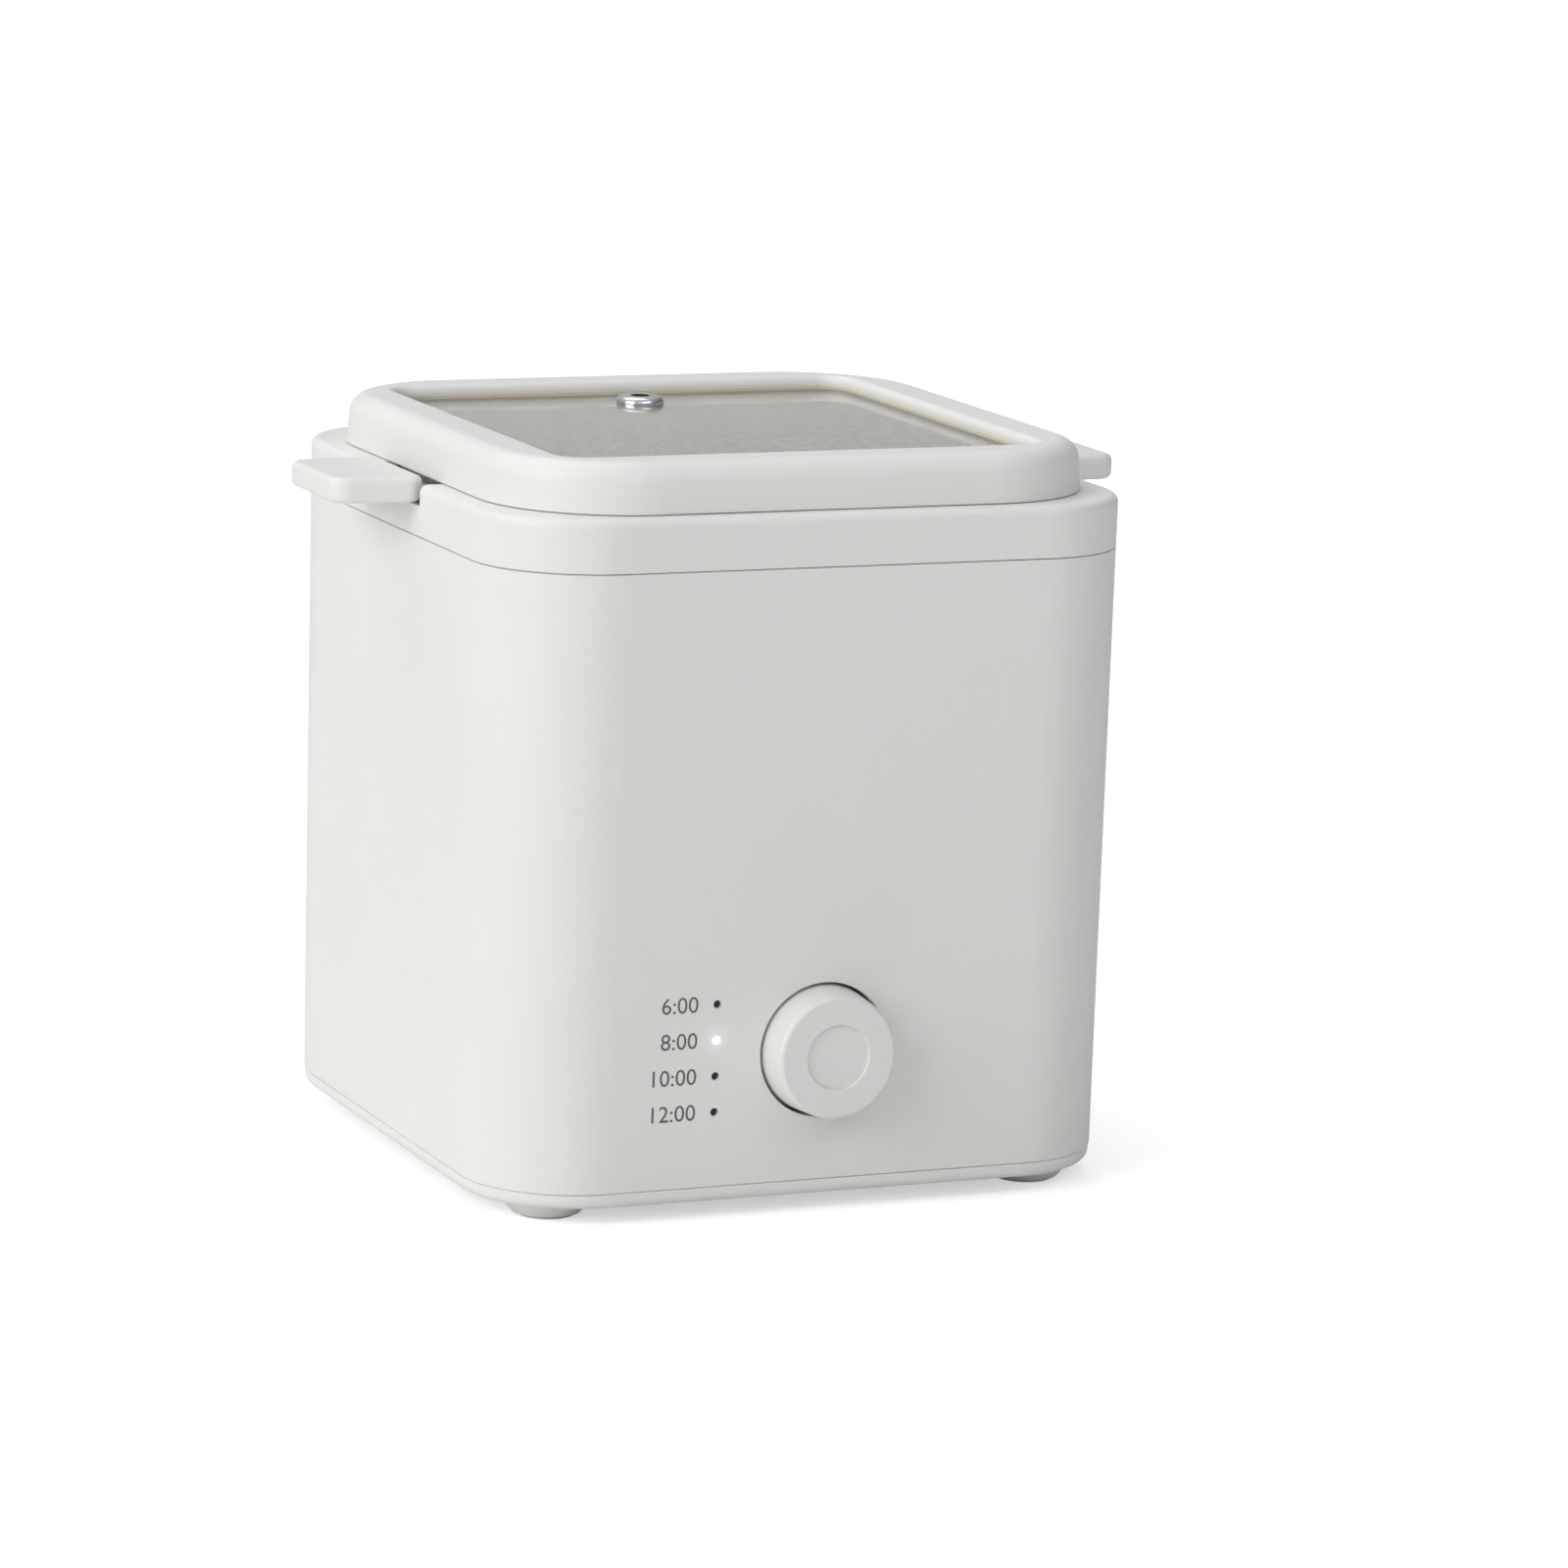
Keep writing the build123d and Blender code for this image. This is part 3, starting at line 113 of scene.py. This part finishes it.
# Fog film just below the glass
fog_depth = 0.00003
fog_below_glass = 0.0003
fog_edge_gap = 0.0003
fog_corner_radius = 0.0075
fog_corner_steps = 10
fog_vent_gap = 0.0005
fog_vent_steps = 48

# Points this close to the clamping ring's top belong to its top edge
ring_top_depth = 0.0001

# Thin spots in the fog, from the front to the back, with size and rim as shares of the pitch
spot_pitch = 0.0010
spot_sizes = (0.42, 0.06)
spot_reach = (-0.044, 0.01)
spot_rim = 0.12
fog_left_in_spot = 0.25

# Wet mottling of the glass, from the front to the back
wet_grain = 0.0013
wet_squeeze = (1.0, 0.5, 1.0)
wet_levels = (1.0, 0.4)
wet_reach = (-0.046, 0.02)

# Moulded finishes: pale and deep colour, least and most roughness, and depth of the grain
plastic_grain = 0.000012
rubber_grain = 0.00004
moulded_finishes = {
    "white_plastic": ((0.812, 0.810, 0.796), (0.796, 0.794, 0.779), (0.40, 0.50), plastic_grain),
    "knob_plastic": ((0.800, 0.798, 0.785), (0.785, 0.783, 0.769), (0.34, 0.44), plastic_grain),
    "foot_rubber": ((0.66, 0.66, 0.64), (0.58, 0.58, 0.56), (0.6, 0.8), rubber_grain),
    "black_plastic": ((0.025, 0.025, 0.028), (0.018, 0.018, 0.02), (0.4, 0.6), plastic_grain),
    "board_green": ((0.02, 0.16, 0.06), (0.015, 0.11, 0.045), (0.2, 0.35), plastic_grain),
    "part_blue": ((0.02, 0.07, 0.28), (0.015, 0.05, 0.2), (0.25, 0.4), plastic_grain),
    "part_yellow": ((0.62, 0.44, 0.06), (0.5, 0.34, 0.04), (0.3, 0.45), plastic_grain),
    # Clear plastic is coloured near black here: painted shade of the dark light holes that the unlit pins
    # sit in
    "clear_plastic": ((0.012, 0.012, 0.013), (0.02, 0.02, 0.022), (0.25, 0.4), plastic_grain),
    "lead_red": ((0.42, 0.03, 0.025), (0.34, 0.02, 0.02), (0.3, 0.45), plastic_grain),
    "lead_grey": ((0.32, 0.32, 0.34), (0.26, 0.26, 0.28), (0.35, 0.5), plastic_grain),
    "print_grey": ((0.13, 0.13, 0.13), (0.17, 0.17, 0.165), (0.45, 0.6), plastic_grain),
}

# Brushed finishes: pale and deep colour, least and most roughness, squeeze and length of the lines
brushed_finishes = {
    "pot_steel": ((0.66, 0.66, 0.65), (0.50, 0.50, 0.49), (0.27, 0.35), (1.0, 1.0, 30.0), 0.004),
    "screw_steel": ((0.52, 0.52, 0.52), (0.40, 0.40, 0.40), (0.27, 0.35), (8.0, 1.0, 1.0), 0.002),
    "well_aluminium": ((0.68, 0.68, 0.69), (0.56, 0.56, 0.57), (0.35, 0.5), (1.0, 1.0, 12.0), 0.004),
    "brass": ((0.70, 0.52, 0.22), (0.56, 0.40, 0.16), (0.27, 0.35), (1.0, 10.0, 1.0), 0.004),
}

# Cast and fired finishes: pale and deep colour, least and most roughness, and how metallic
cast_finishes = {
    "plate_aluminium": ((0.56, 0.56, 0.57), (0.40, 0.39, 0.38), (0.4, 0.6), 1.0),
    "element_steel": ((0.20, 0.19, 0.18), (0.12, 0.10, 0.09), (0.45, 0.7), 1.0),
    "ceramic": ((0.80, 0.78, 0.72), (0.70, 0.66, 0.58), (0.5, 0.7), 0.0),
}


# Small tools

def box_middle(node):
    """Middle of a piece's box at rest."""
    low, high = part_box(node)
    return (low + high) / 2


def mesh_piece(name, mesh, body, material):
    """A finished mesh as a piece that rides on a body."""
    piece = bpy.data.objects.new(name, mesh)
    bpy.context.scene.collection.objects.link(piece)
    piece.data.materials.clear()
    piece.data.materials.append(materials[material])
    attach(piece, body)


def rgba(colour):
    """A colour for a socket: as it is where it comes from a node, or with full alpha."""
    if isinstance(colour, bpy.types.NodeSocket):
        return colour
    return (*colour, 1.0)


# Materials

class Surface:
    """A material's node tree, with short calls that add nodes to it."""

    def __init__(self, name):
        self.name = name
        self.material = bpy.data.materials.new(name)
        self.material.use_nodes = True
        self.tree = self.material.node_tree
        self.tree.nodes.clear()
        self.output = self.tree.nodes.new("ShaderNodeOutputMaterial")
        self.shader = self.add("ShaderNodeBsdfPrincipled")
        self.connect(self.shader.outputs["BSDF"], self.output.inputs["Surface"])
        self.place = self.add("ShaderNodeTexCoord").outputs["Object"]

    def add(self, kind, settings=None, **inputs):
        """A new node, with its settings and its inputs."""
        node = self.tree.nodes.new(kind)
        for key, value in (settings or {}).items():
            setattr(node, key, value)
        self.fill(node, inputs)
        return node

    def finish(self, **inputs):
        """Inputs of the surface's own shader."""
        self.fill(self.shader, inputs)

    def fill(self, node, inputs):
        """A node's inputs by name, where an underscore stands for a space."""
        for key, value in inputs.items():
            self.put(node.inputs[key.replace("_", " ")], value)

    def put(self, socket, value):
        """Connects a node's output to the socket, or sets the socket to a constant."""
        if isinstance(value, bpy.types.NodeSocket):
            self.connect(value, socket)
        else:
            socket.default_value = value

    def connect(self, output, socket):
        """Joins one node's output to another's input."""
        self.tree.links.new(output, socket)

    def noise(self, grain, detail=3.0, squeeze=(1.0, 1.0, 1.0), distort=0.0):
        """Cloudy values from 0 to 1. Grain is their size in metres, divided by squeeze along each axis."""
        mapped = self.add("ShaderNodeMapping", Vector=self.place, Scale=squeeze)
        texture = self.add(
            "ShaderNodeTexNoise",
            Vector=mapped.outputs["Vector"],
            Scale=1.0 / grain,
            Detail=detail,
            Distortion=distort,
        )
        return texture.outputs["Fac"]

    def span(self, value, low, high, start=0.3, end=0.7):
        """Level that goes from low to high as the value goes from start to end."""
        node = self.add("ShaderNodeMapRange", Value=value)
        node.inputs["From Min"].default_value = start
        node.inputs["From Max"].default_value = end
        node.inputs["To Min"].default_value = low
        node.inputs["To Max"].default_value = high
        return node.outputs["Result"]

    def blend(self, factor, first, second):
        """Colour between two colours."""
        node = self.add("ShaderNodeMix", {"data_type": "RGBA"})
        self.put(node.inputs[0], factor)
        self.put(node.inputs[6], rgba(first))
        self.put(node.inputs[7], rgba(second))
        return node.outputs[2]

    def math(self, operation, first, second):
        """Difference, product or greater one of two values."""
        node = self.add("ShaderNodeMath", {"operation": operation})
        self.put(node.inputs[0], first)
        self.put(node.inputs[1], second)
        return node.outputs[0]

    def front_to_back(self, levels, reach):
        """Level that changes along Y, from the first at the front to the second further back."""
        along = self.add("ShaderNodeSeparateXYZ", Vector=self.place)
        return self.span(along.outputs["Y"], *levels, *reach)

    def edges(self):
        """One where the surface bends outward, as at an edge that hands wear."""
        pointiness = self.add("ShaderNodeNewGeometry").outputs["Pointiness"]
        return self.span(pointiness, 0.0, 1.0, start=0.52, end=0.6)

    def bump(self, height, depth, strength, under=None):
        """Relief of that depth in metres, laid over another relief if one is given."""
        node = self.add("ShaderNodeBump", Height=height, Distance=depth, Strength=strength)
        if under is not None:
            self.connect(under, node.inputs["Normal"])
        return node.outputs["Normal"]


def moulded_plastic(name, pale, deep, roughness, grain_depth):
    """Moulded plastic: faint clouds in the colour, fine spark-eroded grain, paler worn edges."""
    surface = Surface(name)
    clouds = surface.noise(grain=0.035, detail=4.0)
    rubbed = surface.noise(grain=0.012, detail=6.0, distort=0.4)
    sparks = surface.noise(grain=0.00035, detail=2.0)
    waves = surface.noise(grain=0.02, detail=1.0)
    colour = surface.blend(surface.span(clouds, 0.0, 1.0), pale, deep)
    wavy = surface.bump(waves, depth=0.00004, strength=0.25)
    surface.finish(
        Base_Color=surface.blend(surface.edges(), colour, pale),
        Roughness=surface.span(rubbed, *roughness),
        Normal=surface.bump(sparks, grain_depth, strength=0.5, under=wavy),
        IOR=1.46,
    )
    return surface


def brushed_metal(name, pale, deep, roughness, squeeze, line_length):
    """Metal with fine straight lines and faint cloudy smears."""
    surface = Surface(name)
    lines = surface.noise(line_length, detail=5.0, squeeze=squeeze)
    smears = surface.noise(grain=0.015, detail=5.0, distort=0.8)
    colour = surface.blend(surface.span(lines, 0.0, 1.0), pale, deep)
    surface.finish(
        Base_Color=surface.blend(surface.span(smears, 0.0, 0.2), colour, deep),
        Metallic=1.0,
        Roughness=surface.span(smears, *roughness),
        Normal=surface.bump(lines, depth=0.000006, strength=0.6),
    )
    return surface


def cast_surface(name, pale, deep, roughness, metallic):
    """Grainy cast or fired surface with darker stains."""
    surface = Surface(name)
    grains = surface.noise(grain=0.0012, detail=6.0)
    stains = surface.noise(grain=0.02, detail=4.0, distort=1.2)
    surface.finish(
        Base_Color=surface.blend(surface.span(stains, 0.0, 1.0), pale, deep),
        Metallic=metallic,
        Roughness=surface.span(stains, *roughness),
        Normal=surface.bump(grains, depth=0.00006, strength=0.5),
    )
    return surface


def lid_glass():
    """Tempered glass that steam has made a little milky, mottled where it is wettest."""
    surface = Surface("lid_glass")
    smears = surface.noise(grain=0.009, detail=8.0, distort=0.5)
    mottle = surface.noise(wet_grain, detail=3.0, squeeze=wet_squeeze)
    ripples = surface.noise(grain=0.03, detail=1.0)
    wettest = surface.front_to_back(wet_levels, wet_reach)
    wet = surface.math("MULTIPLY", wettest, surface.span(mottle, 0.0, 1.0, start=0.42, end=0.58))
    surface.finish(
        Base_Color=surface.blend(wet, (0.93, 0.935, 0.88), (0.60, 0.61, 0.565)),
        Transmission_Weight=0.8,
        IOR=1.46,
        Roughness=surface.span(smears, 0.02, 0.12),
        Normal=surface.bump(ripples, depth=0.00002, strength=0.3),
    )
    return surface


def glass_fog():
    """Film of fog that scatters light, with thin spots where its water has gathered into beads."""
    surface = Surface("glass_fog")
    grain = surface.noise(grain=0.0011, detail=3.0)
    patches = surface.noise(grain=0.006, detail=5.0, distort=0.6)
    cells = surface.add("ShaderNodeTexVoronoi", Vector=surface.place, Scale=1.0 / spot_pitch)
    spot_size = surface.math(
        "MULTIPLY", surface.front_to_back(spot_sizes, spot_reach), surface.span(patches, 0.7, 1.1)
    )
    past_spot = surface.math("SUBTRACT", cells.outputs["Distance"], spot_size)
    cover = surface.span(past_spot, fog_left_in_spot, 1.0, start=0.0, end=spot_rim)
    thickness = surface.math("MULTIPLY", surface.span(patches, 0.22, 0.56), surface.span(grain, 0.88, 1.0))
    surface.finish(
        Base_Color=surface.blend(surface.span(grain, 0.0, 1.0), (0.88, 0.875, 0.82), (0.79, 0.785, 0.73)),
        Roughness=0.6,
        Alpha=surface.math("MULTIPLY", thickness, cover),
    )
    return surface


def water():
    """Clear water with a trace of haze."""
    surface = Surface("water")
    haze = surface.noise(grain=0.001, detail=2.0)
    surface.finish(
        Base_Color=surface.blend(haze, (0.95, 0.97, 0.96), (0.86, 0.9, 0.88)),
        Transmission_Weight=1.0,
        IOR=1.33,
        Roughness=surface.span(haze, 0.01, 0.06),
    )
    return surface


def chrome():
    """Plated metal of the steam vent, with smears and fine scratches."""
    surface = Surface("vent_chrome")
    smears = surface.noise(grain=0.003, detail=5.0)
    scratches = surface.noise(grain=0.0004, detail=3.0, squeeze=(1.0, 6.0, 1.0))
    surface.finish(
        Base_Color=surface.blend(smears, (0.60, 0.61, 0.64), (0.42, 0.43, 0.46)),
        Metallic=1.0,
        Roughness=surface.span(smears, 0.10, 0.22),
        Normal=surface.bump(scratches, depth=0.000004, strength=0.5),
    )
    return surface


def silicone():
    """Tan silicone of the lid's gasket."""
    surface = Surface("gasket_silicone")
    clouds = surface.noise(grain=0.004, detail=4.0)
    pores = surface.noise(grain=0.0004)
    surface.finish(
        Base_Color=surface.blend(clouds, (0.80, 0.73, 0.56), (0.72, 0.64, 0.48)),
        Roughness=surface.span(clouds, 0.45, 0.65),
        Normal=surface.bump(pores, depth=0.00001, strength=0.5),
    )
    return surface


def lit_plastic():
    """The clear pin over the burning light, which glows white."""
    surface = Surface("lit_plastic")
    cloud = surface.noise(grain=0.0006, detail=2.0)
    colour = surface.blend(cloud, (1.0, 0.99, 0.96), (0.96, 0.97, 1.0))
    surface.finish(
        Base_Color=colour,
        Emission_Color=colour,
        Emission_Strength=4.0,
        Roughness=surface.span(cloud, 0.2, 0.35),
    )
    return surface


def make_materials():
    """All materials by name. The names of the part's own are its material slots."""
    made = [moulded_plastic(name, *finish) for name, finish in moulded_finishes.items()]
    made += [brushed_metal(name, *finish) for name, finish in brushed_finishes.items()]
    made += [cast_surface(name, *finish) for name, finish in cast_finishes.items()]
    made += [lid_glass(), glass_fog(), water(), chrome(), silicone(), lit_plastic()]
    return {surface.name: surface.material for surface in made}


def dress_nodes():
    """Every piece of the frame takes the material of its slot."""
    for sub in frame["record"]["subparts"]:
        mesh = frame["nodes"][sub["node"]].data
        mesh.materials.clear()
        mesh.materials.append(materials[sub["material_slot"]])


# Printed numbers

def printed_numbers():
    """Grey numbers, printed on the front wall at the height of each light."""
    lit_low, lit_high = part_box("lit_light_pin")
    dark_low, dark_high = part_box("dark_light_pins")
    pin_radius = (lit_high.z - lit_low.z) / 2
    top = dark_high.z - pin_radius
    bottom = dark_low.z + pin_radius
    pitch = (top - bottom) / (len(number_words) - 1)
    upright = Matrix.Rotation(math.radians(90) - wall_lean(), 4, "X")
    for i, word in enumerate(number_words):
        z = top - i * pitch
        shape = word_mesh(word)
        shape.transform(Matrix.Translation((lit_low.x - number_gap, wall_y(z), z)) @ upright)
        mesh_piece(f"printed_number_{i + 1}", shape, "base", "print_grey")


def word_mesh(word):
    """A word as a thin flat mesh, which ends at X 0 and is centred on Y 0."""
    text = bpy.data.curves.new("number", "FONT")
    text.body = word
    text.size = number_high / digit_share_of_font
    text.extrude = number_thick
    text.resolution_u = number_curve_steps
    text.align_x = "RIGHT"
    text.align_y = "CENTER"
    holder = bpy.data.objects.new("number", text)
    bpy.context.scene.collection.objects.link(holder)
    bpy.context.view_layer.update()
    shape = bpy.data.meshes.new_from_object(holder)
    bpy.data.objects.remove(holder)
    return shape


def wall_lean():
    """How far the front wall leans in towards its foot, in radians."""
    low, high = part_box("housing_shell")
    return math.atan((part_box("base_cover")[0].y - low.y) / (high.z - low.z))


def wall_y(z):
    """The front wall's outer face at a height."""
    low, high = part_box("housing_shell")
    return low.y + math.tan(wall_lean()) * (high.z - z)


# Steam on the glass

def window_half():
    """Half the opening of the ring that clamps the glass, read from the top of its inner wall."""
    ring = frame["nodes"]["lid_inner_ring"].data
    middle = box_middle("lid_inner_ring")
    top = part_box("lid_inner_ring")[1].z
    near_top = [vert.co for vert in ring.vertices if abs(vert.co.z - top) < ring_top_depth]
    return min(max(abs(co.x - middle.x), abs(co.y - middle.y)) for co in near_top)


def rounded_square(half, radius, steps):
    """Corner points of a rounded square, counterclockwise."""
    for corner in range(4):
        turn = corner * math.pi / 2
        across = math.cos(turn) - math.sin(turn)
        along = math.sin(turn) + math.cos(turn)
        for i in range(steps + 1):
            angle = turn + math.pi / 2 * i / steps
            x = (half - radius) * across + radius * math.cos(angle)
            y = (half - radius) * along + radius * math.sin(angle)
            yield x, y


def fog_film():
    """Thin film just under the glass, inside the clamping ring and round the vent."""
    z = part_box("lid_glass")[0].z - fog_below_glass
    middle = box_middle("lid_glass")
    vent = box_middle("steam_vent")
    half = window_half() - fog_edge_gap
    vent_low, vent_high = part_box("steam_vent")
    radius = (vent_high.x - vent_low.x) / 2 + fog_vent_gap
    corners = rounded_square(half, fog_corner_radius, fog_corner_steps)
    outline = [(middle.x + x, middle.y + y, z) for x, y in corners]
    turns = [2 * math.pi * i / fog_vent_steps for i in range(fog_vent_steps)]
    hole = [(vent.x + radius * math.cos(a), vent.y + radius * math.sin(a), z) for a in turns]
    film = bmesh.new()
    edges = []
    for loop in (outline, hole):
        verts = [film.verts.new(point) for point in loop]
        edges += [film.edges.new((a, b)) for a, b in zip(verts, verts[1:] + verts[:1])]
    bmesh.ops.triangle_fill(film, use_beauty=True, edges=edges)
    made = bmesh.ops.extrude_face_region(film, geom=film.faces[:])
    underside = [piece for piece in made["geom"] if isinstance(piece, bmesh.types.BMVert)]
    bmesh.ops.translate(film, verts=underside, vec=(0, 0, -fog_depth))
    bmesh.ops.recalc_face_normals(film, faces=film.faces[:])
    mesh = bpy.data.meshes.new("fog")
    film.to_mesh(mesh)
    film.free()
    mesh_piece("lid_fog", mesh, "lid", "glass_fog")


def droplets():
    """Beads of water that hang under the glass, thickest at the front left."""
    random.seed(drop_seed)
    glass_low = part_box("lid_glass")[0].z
    half = window_half() - 2 * drop_largest
    middle_y = box_middle("lid_glass").y
    vent = box_middle("steam_vent")
    drops = bmesh.new()
    made = 0
    while made < drop_count:
        x = -half + 2 * half * random.random() ** drop_left_bias
        y = middle_y - half + 2 * half * random.random() ** drop_front_bias
        radius = drop_smallest + (drop_largest - drop_smallest) * random.random() ** drop_small_bias
        if math.hypot(x - vent.x, y - vent.y) < drop_vent_gap:
            continue
        made += 1
        radius_along_y = radius * random.uniform(*drop_unevenness)
        place = Matrix.Translation((x, y, glass_low - drop_hang))
        squeeze = Matrix.Diagonal((radius, radius_along_y, radius * drop_flatness, 1.0))
        bmesh.ops.create_icosphere(drops, subdivisions=1, radius=1.0, matrix=place @ squeeze)
    for vert in drops.verts:
        vert.co.z = min(vert.co.z, glass_low - drop_hang / 2)
    for face in drops.faces:
        face.smooth = True
    mesh = bpy.data.meshes.new("droplets")
    drops.to_mesh(mesh)
    drops.free()
    mesh_piece("lid_condensation", mesh, "lid", "water")


# Stage

def floor_material():
    """Pale floor that looks white to the camera, and still takes the object's shadow."""
    surface = Surface("floor")
    clouds = surface.noise(grain=0.6, detail=2.0)
    shaded = [channel * floor_cloud_shade for channel in floor_colour]
    surface.finish(
        Base_Color=surface.blend(clouds, floor_colour, shaded),
        Roughness=0.9,
        Specular_IOR_Level=0.0,
    )
    path = surface.add("ShaderNodeLightPath")
    seen = surface.math("MAXIMUM", path.outputs["Is Camera Ray"], path.outputs["Is Transmission Ray"])
    away = surface.add("ShaderNodeVectorMath", {"operation": "LENGTH"})
    surface.connect(surface.place, away.inputs[0])
    strength = surface.span(away.outputs["Value"], *floor_glow_levels, *floor_glow_reach)
    glow = surface.add("ShaderNodeEmission", Strength=strength)
    both = surface.add("ShaderNodeAddShader")
    surface.connect(surface.shader.outputs["BSDF"], both.inputs[0])
    surface.connect(glow.outputs["Emission"], both.inputs[1])
    choice = surface.add("ShaderNodeMixShader")
    surface.connect(seen, choice.inputs[0])
    surface.connect(surface.shader.outputs["BSDF"], choice.inputs[1])
    surface.connect(both.outputs[0], choice.inputs[2])
    surface.connect(choice.outputs[0], surface.output.inputs["Surface"])
    return surface.material


def make_floor():
    """Flat square floor that the object stands on."""
    half = floor_size / 2
    corners = [(-half, -half, 0), (half, -half, 0), (half, half, 0), (-half, half, 0)]
    mesh = bpy.data.meshes.new("floor")
    mesh.from_pydata(corners, [], [(0, 1, 2, 3)])
    mesh.materials.append(floor_material())
    floor = bpy.data.objects.new("floor", mesh)
    bpy.context.scene.collection.objects.link(floor)


def make_world():
    """Soft light from all round, brighter from the left, which the camera sees as white."""
    world = bpy.data.worlds.new("studio")
    bpy.context.scene.world = world
    world.use_nodes = True
    tree = world.node_tree
    tree.nodes.clear()
    output = tree.nodes.new("ShaderNodeOutputWorld")
    path = tree.nodes.new("ShaderNodeLightPath")
    around = tree.nodes.new("ShaderNodeTexCoord")
    direction = tree.nodes.new("ShaderNodeSeparateXYZ")
    tree.links.new(around.outputs["Generated"], direction.inputs[0])
    soft = world_background(tree, warm_white)
    ambient = world_fade(tree, direction.outputs["X"], ambient_reach, ambient_levels)
    tree.links.new(ambient, soft.inputs["Strength"])
    shiny = world_background(tree, plain_white)
    from_side = world_fade(tree, direction.outputs["X"], mirror_side_reach, mirror_side_levels)
    from_above = world_fade(tree, direction.outputs["Z"], mirror_up_reach, mirror_up_levels)
    mirrored = tree.nodes.new("ShaderNodeMath")
    mirrored.operation = "MULTIPLY"
    tree.links.new(from_side, mirrored.inputs[0])
    tree.links.new(from_above, mirrored.inputs[1])
    tree.links.new(mirrored.outputs[0], shiny.inputs["Strength"])
    through = world_background(tree, plain_white, through_level)
    white = world_background(tree, plain_white)
    seen = soft.outputs[0]
    kinds = (("Is Glossy Ray", shiny), ("Is Transmission Ray", through), ("Is Camera Ray", white))
    for ray, background in kinds:
        choice = tree.nodes.new("ShaderNodeMixShader")
        tree.links.new(path.outputs[ray], choice.inputs[0])
        tree.links.new(seen, choice.inputs[1])
        tree.links.new(background.outputs[0], choice.inputs[2])
        seen = choice.outputs[0]
    tree.links.new(seen, output.inputs["Surface"])


def world_background(tree, colour, strength=1.0):
    """Even background of that colour."""
    node = tree.nodes.new("ShaderNodeBackground")
    node.inputs["Color"].default_value = rgba(colour)
    node.inputs["Strength"].default_value = strength
    return node


def world_fade(tree, value, reach, levels):
    """Level that goes smoothly from the first to the second as the value crosses the reach."""
    fade = tree.nodes.new("ShaderNodeMapRange")
    fade.interpolation_type = "SMOOTHSTEP"
    fade.inputs["From Min"].default_value, fade.inputs["From Max"].default_value = reach
    fade.inputs["To Min"].default_value, fade.inputs["To Max"].default_value = levels
    tree.links.new(value, fade.inputs["Value"])
    return fade.outputs["Result"]


def soft_box(name, place, target, size, power, colour):
    """Rectangular lamp that looks at its target."""
    light = bpy.data.lights.new(name, "AREA")
    light.shape = "RECTANGLE"
    light.size, light.size_y = size
    light.energy = power
    light.color = colour
    lamp = bpy.data.objects.new(name, light)
    lamp.location = place
    lamp.rotation_euler = (Vector(target) - Vector(place)).to_track_quat("-Z", "Y").to_euler()
    bpy.context.scene.collection.objects.link(lamp)


def indicator_glow():
    """Point of light just before the burning indicator."""
    lit = box_middle("lit_light_pin")
    light = bpy.data.lights.new("indicator_glow", "POINT")
    light.energy = glow_power
    light.shadow_soft_size = glow_radius
    lamp = bpy.data.objects.new("indicator_glow", light)
    lamp.location = (lit.x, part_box("housing_shell")[0].y - glow_before_wall, lit.z)
    bpy.context.scene.collection.objects.link(lamp)


def make_lights():
    """The rectangular lamps and the indicator's glow."""
    for name, settings in lamps.items():
        soft_box(name, *settings)
    indicator_glow()


def make_camera():
    """Camera that looks down at the object from its front left."""
    yaw = math.radians(camera_yaw)
    pitch = math.radians(camera_pitch)
    roll = math.radians(camera_roll)
    ahead = Vector((math.sin(yaw) * math.cos(pitch), math.cos(yaw) * math.cos(pitch), -math.sin(pitch)))
    level = Vector((math.cos(yaw), -math.sin(yaw), 0.0))
    upright = level.cross(ahead)
    right = level * math.cos(roll) + upright * math.sin(roll)
    up = upright * math.cos(roll) - level * math.sin(roll)
    turned = Matrix((right, up, -ahead)).transposed().to_4x4()
    data = bpy.data.cameras.new("camera")
    data.lens = camera_lens
    data.sensor_width = sensor_width
    camera = bpy.data.objects.new("camera", data)
    camera.matrix_world = Matrix.Translation(camera_place) @ turned
    bpy.context.scene.collection.objects.link(camera)
    bpy.context.scene.camera = camera


make_camera()
make_world()
make_floor()
make_lights()
materials = make_materials()
dress_nodes()
printed_numbers()
fog_film()
droplets()
bpy.context.scene.view_settings.view_transform = "Standard"
